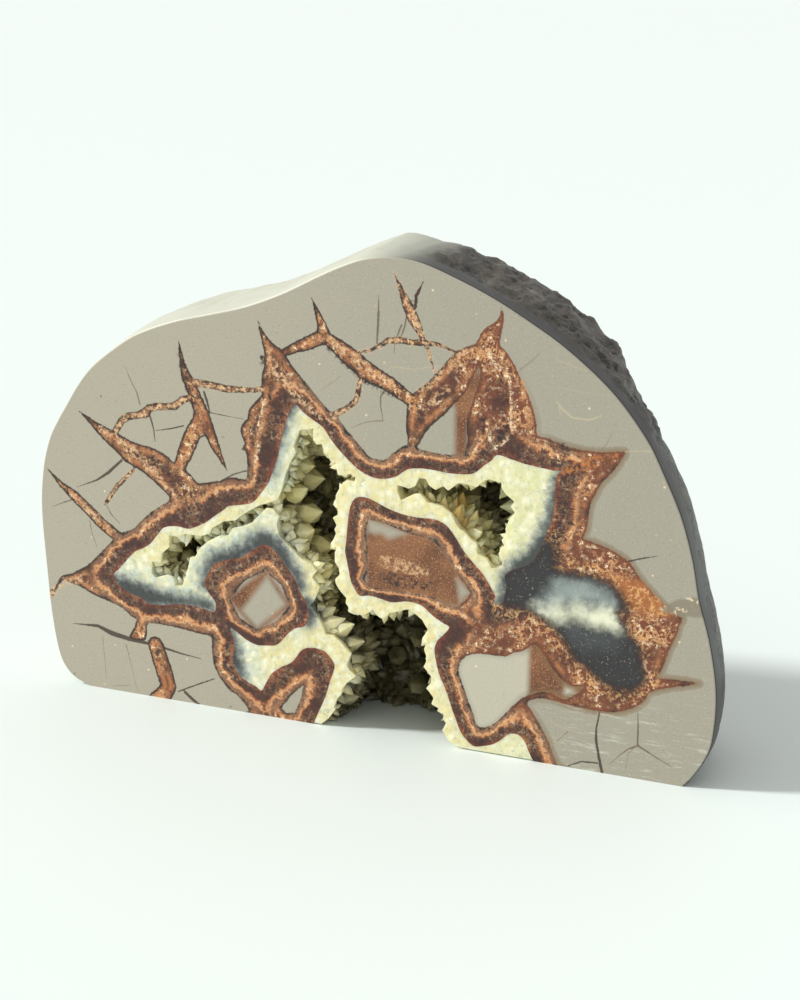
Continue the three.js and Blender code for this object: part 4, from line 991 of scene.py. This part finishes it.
def makeCrystalTree(material):
    inputs = {"Bed": "Geometry", "Spacing": "Float", "Smallest": "Float", "Largest": "Float",
              "Lean": "Float", "Seed": "Int"}
    tree, given, result = newGroup("growCrystals", "GeometryNodeTree", inputs, {"Crust": "Geometry"})
    where = node(tree, "GeometryNodeInputNamedAttribute", {"Name": "grow"},
                 data_type="FLOAT").outputs["Attribute"]
    points = node(tree, "GeometryNodeDistributePointsOnFaces",
                  {"Mesh": given["Bed"], "Distance Min": given["Spacing"], "Density Max": crystals["most"],
                   "Density Factor": where, "Seed": given["Seed"]}, distribute_method="POISSON").outputs
    kinds = node(tree, "GeometryNodeJoinGeometry")
    for sides, radius, length in crystals["shapes"]:
        point = node(tree, "GeometryNodeMeshCone",
                     {"Vertices": sides, "Side Segments": 2, "Radius Top": 0.0, "Radius Bottom": radius * mm,
                      "Depth": length * mm}).outputs["Mesh"]
        place = node(tree, "GeometryNodeInputPosition").outputs[0]
        x, y, z = node(tree, "ShaderNodeSeparateXYZ", {0: place}).outputs
        middle = maths("ABSOLUTE", scaled(z, 2 / (length * mm), -1.0))
        swell = scaled(middle, -crystals["belly"], 1 + crystals["belly"])
        blunt = node(tree, "ShaderNodeCombineXYZ", {0: times(x, swell), 1: times(y, swell), 2: z}).outputs[0]
        point = node(tree, "GeometryNodeSetPosition", {"Geometry": point, "Position": blunt}).outputs[0]
        put(node(tree, "GeometryNodeGeometryToInstance", {0: point}).outputs[0], kinds.inputs[0])

    def anyValue(low, high, salt, kind="FLOAT"):     # a value of its own for each crystal
        first, output = {"FLOAT": (2, 1), "FLOAT_VECTOR": (0, 0), "INT": (4, 2)}[kind]
        seed = node(tree, "FunctionNodeIntegerMath", {0: given["Seed"], 1: salt}, operation="ADD").outputs[0]
        made = node(tree, "FunctionNodeRandomValue", data_type=kind)
        for socket, value in ((first, low), (first + 1, high), ("Seed", seed)):
            put(value, made.inputs[socket])
        return made.outputs[output]

    lean = node(tree, "ShaderNodeVectorMath", {0: anyValue((-1, -1, -1), (1, 1, 1), 1, "FLOAT_VECTOR")},
                operation="SCALE")
    put(given["Lean"], lean.inputs["Scale"])
    aim = node(tree, "ShaderNodeVectorMath", {0: points["Normal"], 1: lean.outputs[0]}, operation="ADD")
    turn = node(tree, "FunctionNodeAlignRotationToVector", {"Vector": aim.outputs[0]}, axis="Z")
    spin = node(tree, "FunctionNodeAxisAngleToRotation",
                {"Axis": (0.0, 0.0, 1.0), "Angle": anyValue(0.0, 6.28, 2)})
    twist = node(tree, "FunctionNodeRotateRotation", {0: turn.outputs[0], 1: spin.outputs[0]},
                 rotation_space="LOCAL")
    planted = node(tree, "GeometryNodeInstanceOnPoints",
                   {"Points": points["Points"], "Instance": kinds.outputs[0], "Pick Instance": True,
                    "Instance Index": anyValue(0, len(crystals["shapes"]) - 1, 3, "INT"),
                    "Rotation": twist.outputs[0], "Scale": anyValue(given["Smallest"], given["Largest"], 4)})
    marked = node(tree, "GeometryNodeStoreNamedAttribute",
                  {"Geometry": planted.outputs[0], "Name": "own", "Value": anyValue(0.05, 1.0, 5)},
                  data_type="FLOAT", domain="INSTANCE")
    real = node(tree, "GeometryNodeRealizeInstances", {0: marked.outputs[0]})
    joined = node(tree, "GeometryNodeJoinGeometry", {0: real.outputs[0]})
    put(given["Bed"], joined.inputs[0])
    finished = node(tree, "GeometryNodeSetMaterial", {"Geometry": joined.outputs[0], "Material": material})
    put(finished.outputs[0], result["Crust"])
    return tree


def bigCrystal(place, aim, length, radius, sides=6):
    root, aim = Vector(placed(*place)), Vector(aim).normalized()
    turn = aim.to_track_quat("Z", "Y")
    angles = np.arange(sides) * 2 * math.pi / sides + radius
    places = [root + turn @ Vector((math.cos(angle), math.sin(angle), 0)) * radius * mm * share
              + aim * length * mm * up for share, up in ((1, 0), crystals["bigBelly"]) for angle in angles]
    faces = [tuple(range(sides))[::-1]] + strip(0, sides)
    faces += [(sides + i, sides + (i + 1) % sides, 2 * sides) for i in range(sides)]
    return places + [root + aim * length * mm], faces


def growCrystals(mesh, material):
    piece = addObject("crystalCrust", mesh)
    modifier = piece.modifiers.new("growCrystals", "NODES")
    modifier.node_group = makeCrystalTree(material)
    wanted = {name.capitalize(): crystals[name] for name in ("smallest", "largest", "lean", "seed")}
    wanted["Spacing"] = crystals["spacing"] * mm
    for item in modifier.node_group.interface.items_tree:
        if item.name in wanted:
            modifier[item.identifier] = wanted[item.name]
    grown = bpy.data.meshes.new_from_object(piece.evaluated_get(bpy.context.evaluated_depsgraph_get()))
    piece.modifiers.remove(modifier)
    shape = bmesh.new()
    shape.from_mesh(grown)
    own, amber = shape.verts.layers.float.get("own"), shape.verts.layers.float.new("amber")
    slotIndex = max(face.material_index for face in shape.faces)
    rng = np.random.default_rng(crystals["seed"])
    extra = [(*item, 0) for item in bigCrystals]
    for tip, lean, length, radius in amberRow:
        aim = Vector((lean, -0.2, 1)).normalized()
        extra.append((Vector(tip) - aim * length, aim, length, radius, 1))
    for *form, isAmber in extra:
        places, faces = bigCrystal(*form)
        made = [shape.verts.new(place) for place in places]
        value = rng.uniform(0.2, 1)
        for vert in made:
            vert[own], vert[amber] = value, isAmber
        for face in faces:
            shape.faces.new([made[i] for i in face]).material_index = slotIndex
    for vert in shape.verts:         # cut flush by the polished face and the base
        if vert[own] > 0:
            vert.co.y = max(vert.co.y, facePlane + crystals["faceGap"] * mm)
            vert.co.z = max(vert.co.z, crust["foot"] * mm)
    shape.to_mesh(grown)
    shape.free()
    piece.data = grown
    print("crystals grown", len(grown.polygons), "faces")
    return piece


smokeLines = [                       # grey calcite next to the stone: x, z and width
    [(-69, 30.8, 2), (-66, 28.6, 5), (-62, 27.4, 6), (-57, 26.6, 5), (-51, 27, 3), (-46, 27.4, 2.4),
    (-41, 27, 2.4)], [(-42.5, 32, 2), (-41.5, 36.5, 3), (-38.5, 39.6, 3.4), (-33, 41.2, 3.8),
    (-29.5, 43.6, 4), (-25.5, 46, 5), (-22.5, 45, 4.4), (-19.5, 41.5, 3.6), (-17, 38.2, 3),
    (-15.5, 35, 2)], [(-35.5, 21.5, 1.6), (-34.6, 17.5, 2.8), (-34.4, 13.5, 3.6), (-32.8, 10.2, 2.4)],
    [(-14, 32, 1.6), (-12.8, 29, 3.4), (-13.6, 26.4, 2)], [(-16.4, 82, 2), (-19.6, 77, 2.4),
    (-21.6, 70, 2), (-23, 64, 1)], [(52, 72.5, 2), (50.6, 67, 3), (49.8, 61, 3), (48, 56, 3.6),
    (45.5, 51, 4.6), (42, 48.4, 4), (39.6, 46.4, 3)], [(38.3, 45.5, 2.4), (38.4, 41.5, 3),
    (37, 38.6, 2.6)]]


def markCrust(mesh):
    points, depth = placesOf(mesh)
    rim, spot = nearest(points, hollowLine, closed=False)
    smoke = np.max([depthInStroke(points, line) for line in smokeLines], 0)
    tooth = np.minimum(nearest(points, tallVoid, closed=False)[0], nearest(points, sideVoid)[0])
    store(mesh, {"smoke": np.maximum(smoke, quietDepth), "tooth": tooth, "flush": (depth < 0.06) * 1.0,
                 "near": np.column_stack([spot, rim * 0.3])})


calciteLook = {
    "grain": 0.0012, "gloss": 0.24, "milkiness": 0.5, "glowColour": (1.0, 0.92, 0.6), "glowDepth": 0.0018,
    "relief": 0.0006, "blue": rgb(208, 218, 200), "cream": rgb(240, 226, 166), "lime": rgb(232, 230, 178),
    "milk": rgb(250, 246, 214), "grey": rgb(118, 128, 128), "deepGrey": rgb(52, 54, 54),
    "amber": rgb(184, 146, 74), "paleAmber": rgb(228, 206, 144), "honey": rgb(228, 218, 160),
    "straw": rgb(220, 212, 158),
    # The deep colour is painted shade for crystals far behind the face
    "greenGrey": rgb(172, 180, 152), "olive": rgb(170, 160, 106), "deep": rgb(52, 48, 24),
    "white": rgb(232, 236, 220)}
calciteNoises = {"fibres": (1.9, 3, 0.55), "smoke": (420, 4, 0.65), "sugar": (1300, 3, 0.7),
                 "creviceShade": (760, 4, 0.7)}
calciteZones = {                     # places along the face or up it in metres where a tone starts and ends, painted shade among them
    "blueLeft": (-0.012, -0.02), "limeRight": (0.026, 0.042), "greyRight": (0.030, 0.034),
    "lessShadeRight": (0.030, 0.036), "archShadeLow": (0.034, 0.026)}


def makeCalciteMaterial():
    look, zone = calciteLook, calciteZones
    material, tree, shader = newMaterial("calcite")
    paint, place = painter(look), node(tree, "ShaderNodeTexCoord").outputs["Object"]
    x, y, z = node(tree, "ShaderNodeSeparateXYZ", {0: place}).outputs
    fine, broad = grain(place, look["grain"])
    own, flush, smoke = (attribute(tree, name) for name in ("own", "flush", "smoke"))
    deep = depthBehindFace(y)
    grains = cellsIn(place, 560, feature="SMOOTH_F1")
    single, between = firstPart(grains.outputs["Color"]), grains.outputs["Distance"]
    fibres = noiseIn(attribute(tree, "near", "Vector"), *calciteNoises["fibres"])
    clouds, sugar, gaps = (noiseIn(place, *calciteNoises[name]) for name in ("smoke", "sugar", "creviceShade"))
    clouded = plus(smoke, scaled(clouds, 4.4, -2.2), scaled(fibres, 1.2, -0.6))
    # Painted shade on the teeth along the void edges: honey tints cell by cell on the flush face
    tooth = times(span(attribute(tree, "tooth"), 1.2, 0.2), single, 0.5, flush)
    # Painted shade in small crevices between the crystals of the flush face
    creviceShade = times(span(gaps, 0.45, 0.35), flush)
    inner = paint("olive", (span(own, 0.0, 0.9), "honey"), (span(x, *zone["greyRight"]), "greenGrey", 0.7))
    # Painted shade low in the arch, from a millimetre behind the face, broken up by broad mottling
    arch = times(span(z, *zone["archShadeLow"]), span(deep, 0.8, 4.5), scaled(broad, -1.5, 1.45))
    body = paint(
        "cream", (times(span(x, *zone["blueLeft"]), span(smoke, -7.5, -3.5)), "blue"),
        (span(x, *zone["limeRight"]), "lime"), (span(single, 0.15, 0.95), "milk"),
        # Straw towards each grain's edge: partly the grains' tone, partly painted shade in the grooves
        # between them
        (span(between, 0.25, 0.6), "straw", 0.45), (span(sugar, 0.5, 0.64), "white", 0.5),
        (creviceShade, "greenGrey", 0.5), (tooth, "honey"), (span(fibres, 0.5, 0.7), "white", 0.35),
        (span(clouded, -3.0, 0.8), "grey", 0.85), (span(clouded, -0.8, 1.9), "deepGrey", 0.9),
        # Behind the face the crystals turn from cream to their own olive and honey tones; this darkening
        # with depth is partly painted shade
        (span(deep, 0.8, 7.0), inner, 0.75),
        # Painted shade: crystals darken far behind the face, less in the side void at the right
        (times(span(deep, 8.0, 22.0), scaled(span(x, *zone["lessShadeRight"]), -0.35, 0.68)), "deep"),
        (arch, "deep"),
        (attribute(tree, "amber"), paint("amber", (span(own, 0.2, 1.0), "paleAmber")), 0.9))
    bump = node(tree, "ShaderNodeBump", {"Strength": 0.45, "Distance": look["relief"],
                                         "Height": scaled(between, -0.9, fine)})
    for name, value in (("Base Color", body), ("Roughness", look["gloss"]), ("Normal", bump.outputs[0]),
                        ("Subsurface Weight", look["milkiness"]), ("Subsurface Radius", look["glowColour"]),
                        ("Subsurface Scale", look["glowDepth"])):
        put(value, shader[name])
    return material


calciteMaterial = makeCalciteMaterial()
crustPiece = growCrystals(crustMesh, calciteMaterial)
markCrust(crustPiece.data)
stonePiece = addObject("septarianNodule", stoneMesh, [stoneMaterial])
stoneMesh.shade_smooth()
stoneMesh.set_sharp_from_angle(angle=math.radians(32))
print("pieces dressed")

# Camera, light and floor

view = {"place": (216.6, -457.19, 204.42), "tilt": 74, "turn": 24.203, "lens": 79.2, "sensor": 36}
daylight = {"from": (-0.78, -0.30, 0.60), "strength": 3.1, "softness": 8, "sky": 0.66}
table = {"half": 5, "colour": rgb(228, 236, 231), "roughness": 0.55}

camera = addObject("camera", bpy.data.cameras.new("camera"))
camera.location = placed(*view["place"])
camera.rotation_euler = (math.radians(view["tilt"]), 0, math.radians(view["turn"]))
camera.data.lens, camera.data.sensor_width = view["lens"], view["sensor"]
camera.data.clip_start, camera.data.clip_end = 0.01, 100
scene = bpy.context.scene
scene.camera = camera

window = addObject("windowLight", bpy.data.lights.new("windowLight", "SUN"))
window.data.energy, window.data.angle = daylight["strength"], math.radians(daylight["softness"])
window.rotation_euler = (-Vector(daylight["from"])).to_track_quat("-Z", "Y").to_euler()

scene.world = bpy.data.worlds.new("studio")
scene.world.use_nodes = True
sky = scene.world.node_tree.nodes["Background"].inputs
put((1, 1, 1, 1), sky["Color"])
put(daylight["sky"], sky["Strength"])
scene.view_settings.view_transform = "Standard"

half = table["half"]
floorMesh = bpy.data.meshes.new("floor")
corners = [(-half, -half, 0), (half, -half, 0), (half, half, 0), (-half, half, 0)]
floorMesh.from_pydata(corners, [], [(0, 1, 2, 3)])
floorMaterial, _, floorShader = newMaterial("paleTable")
put(table["colour"], floorShader["Base Color"])
put(table["roughness"], floorShader["Roughness"])
floor = addObject("floor", floorMesh, [floorMaterial])

# Attach each piece to the root body and hide the imported part it replaces

for piece, source, slotName in ((stonePiece, "nodule", "septarian_stone"),
                                (crustPiece, "crystal_crust", "calcite")):
    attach(piece, "root")
    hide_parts(source)
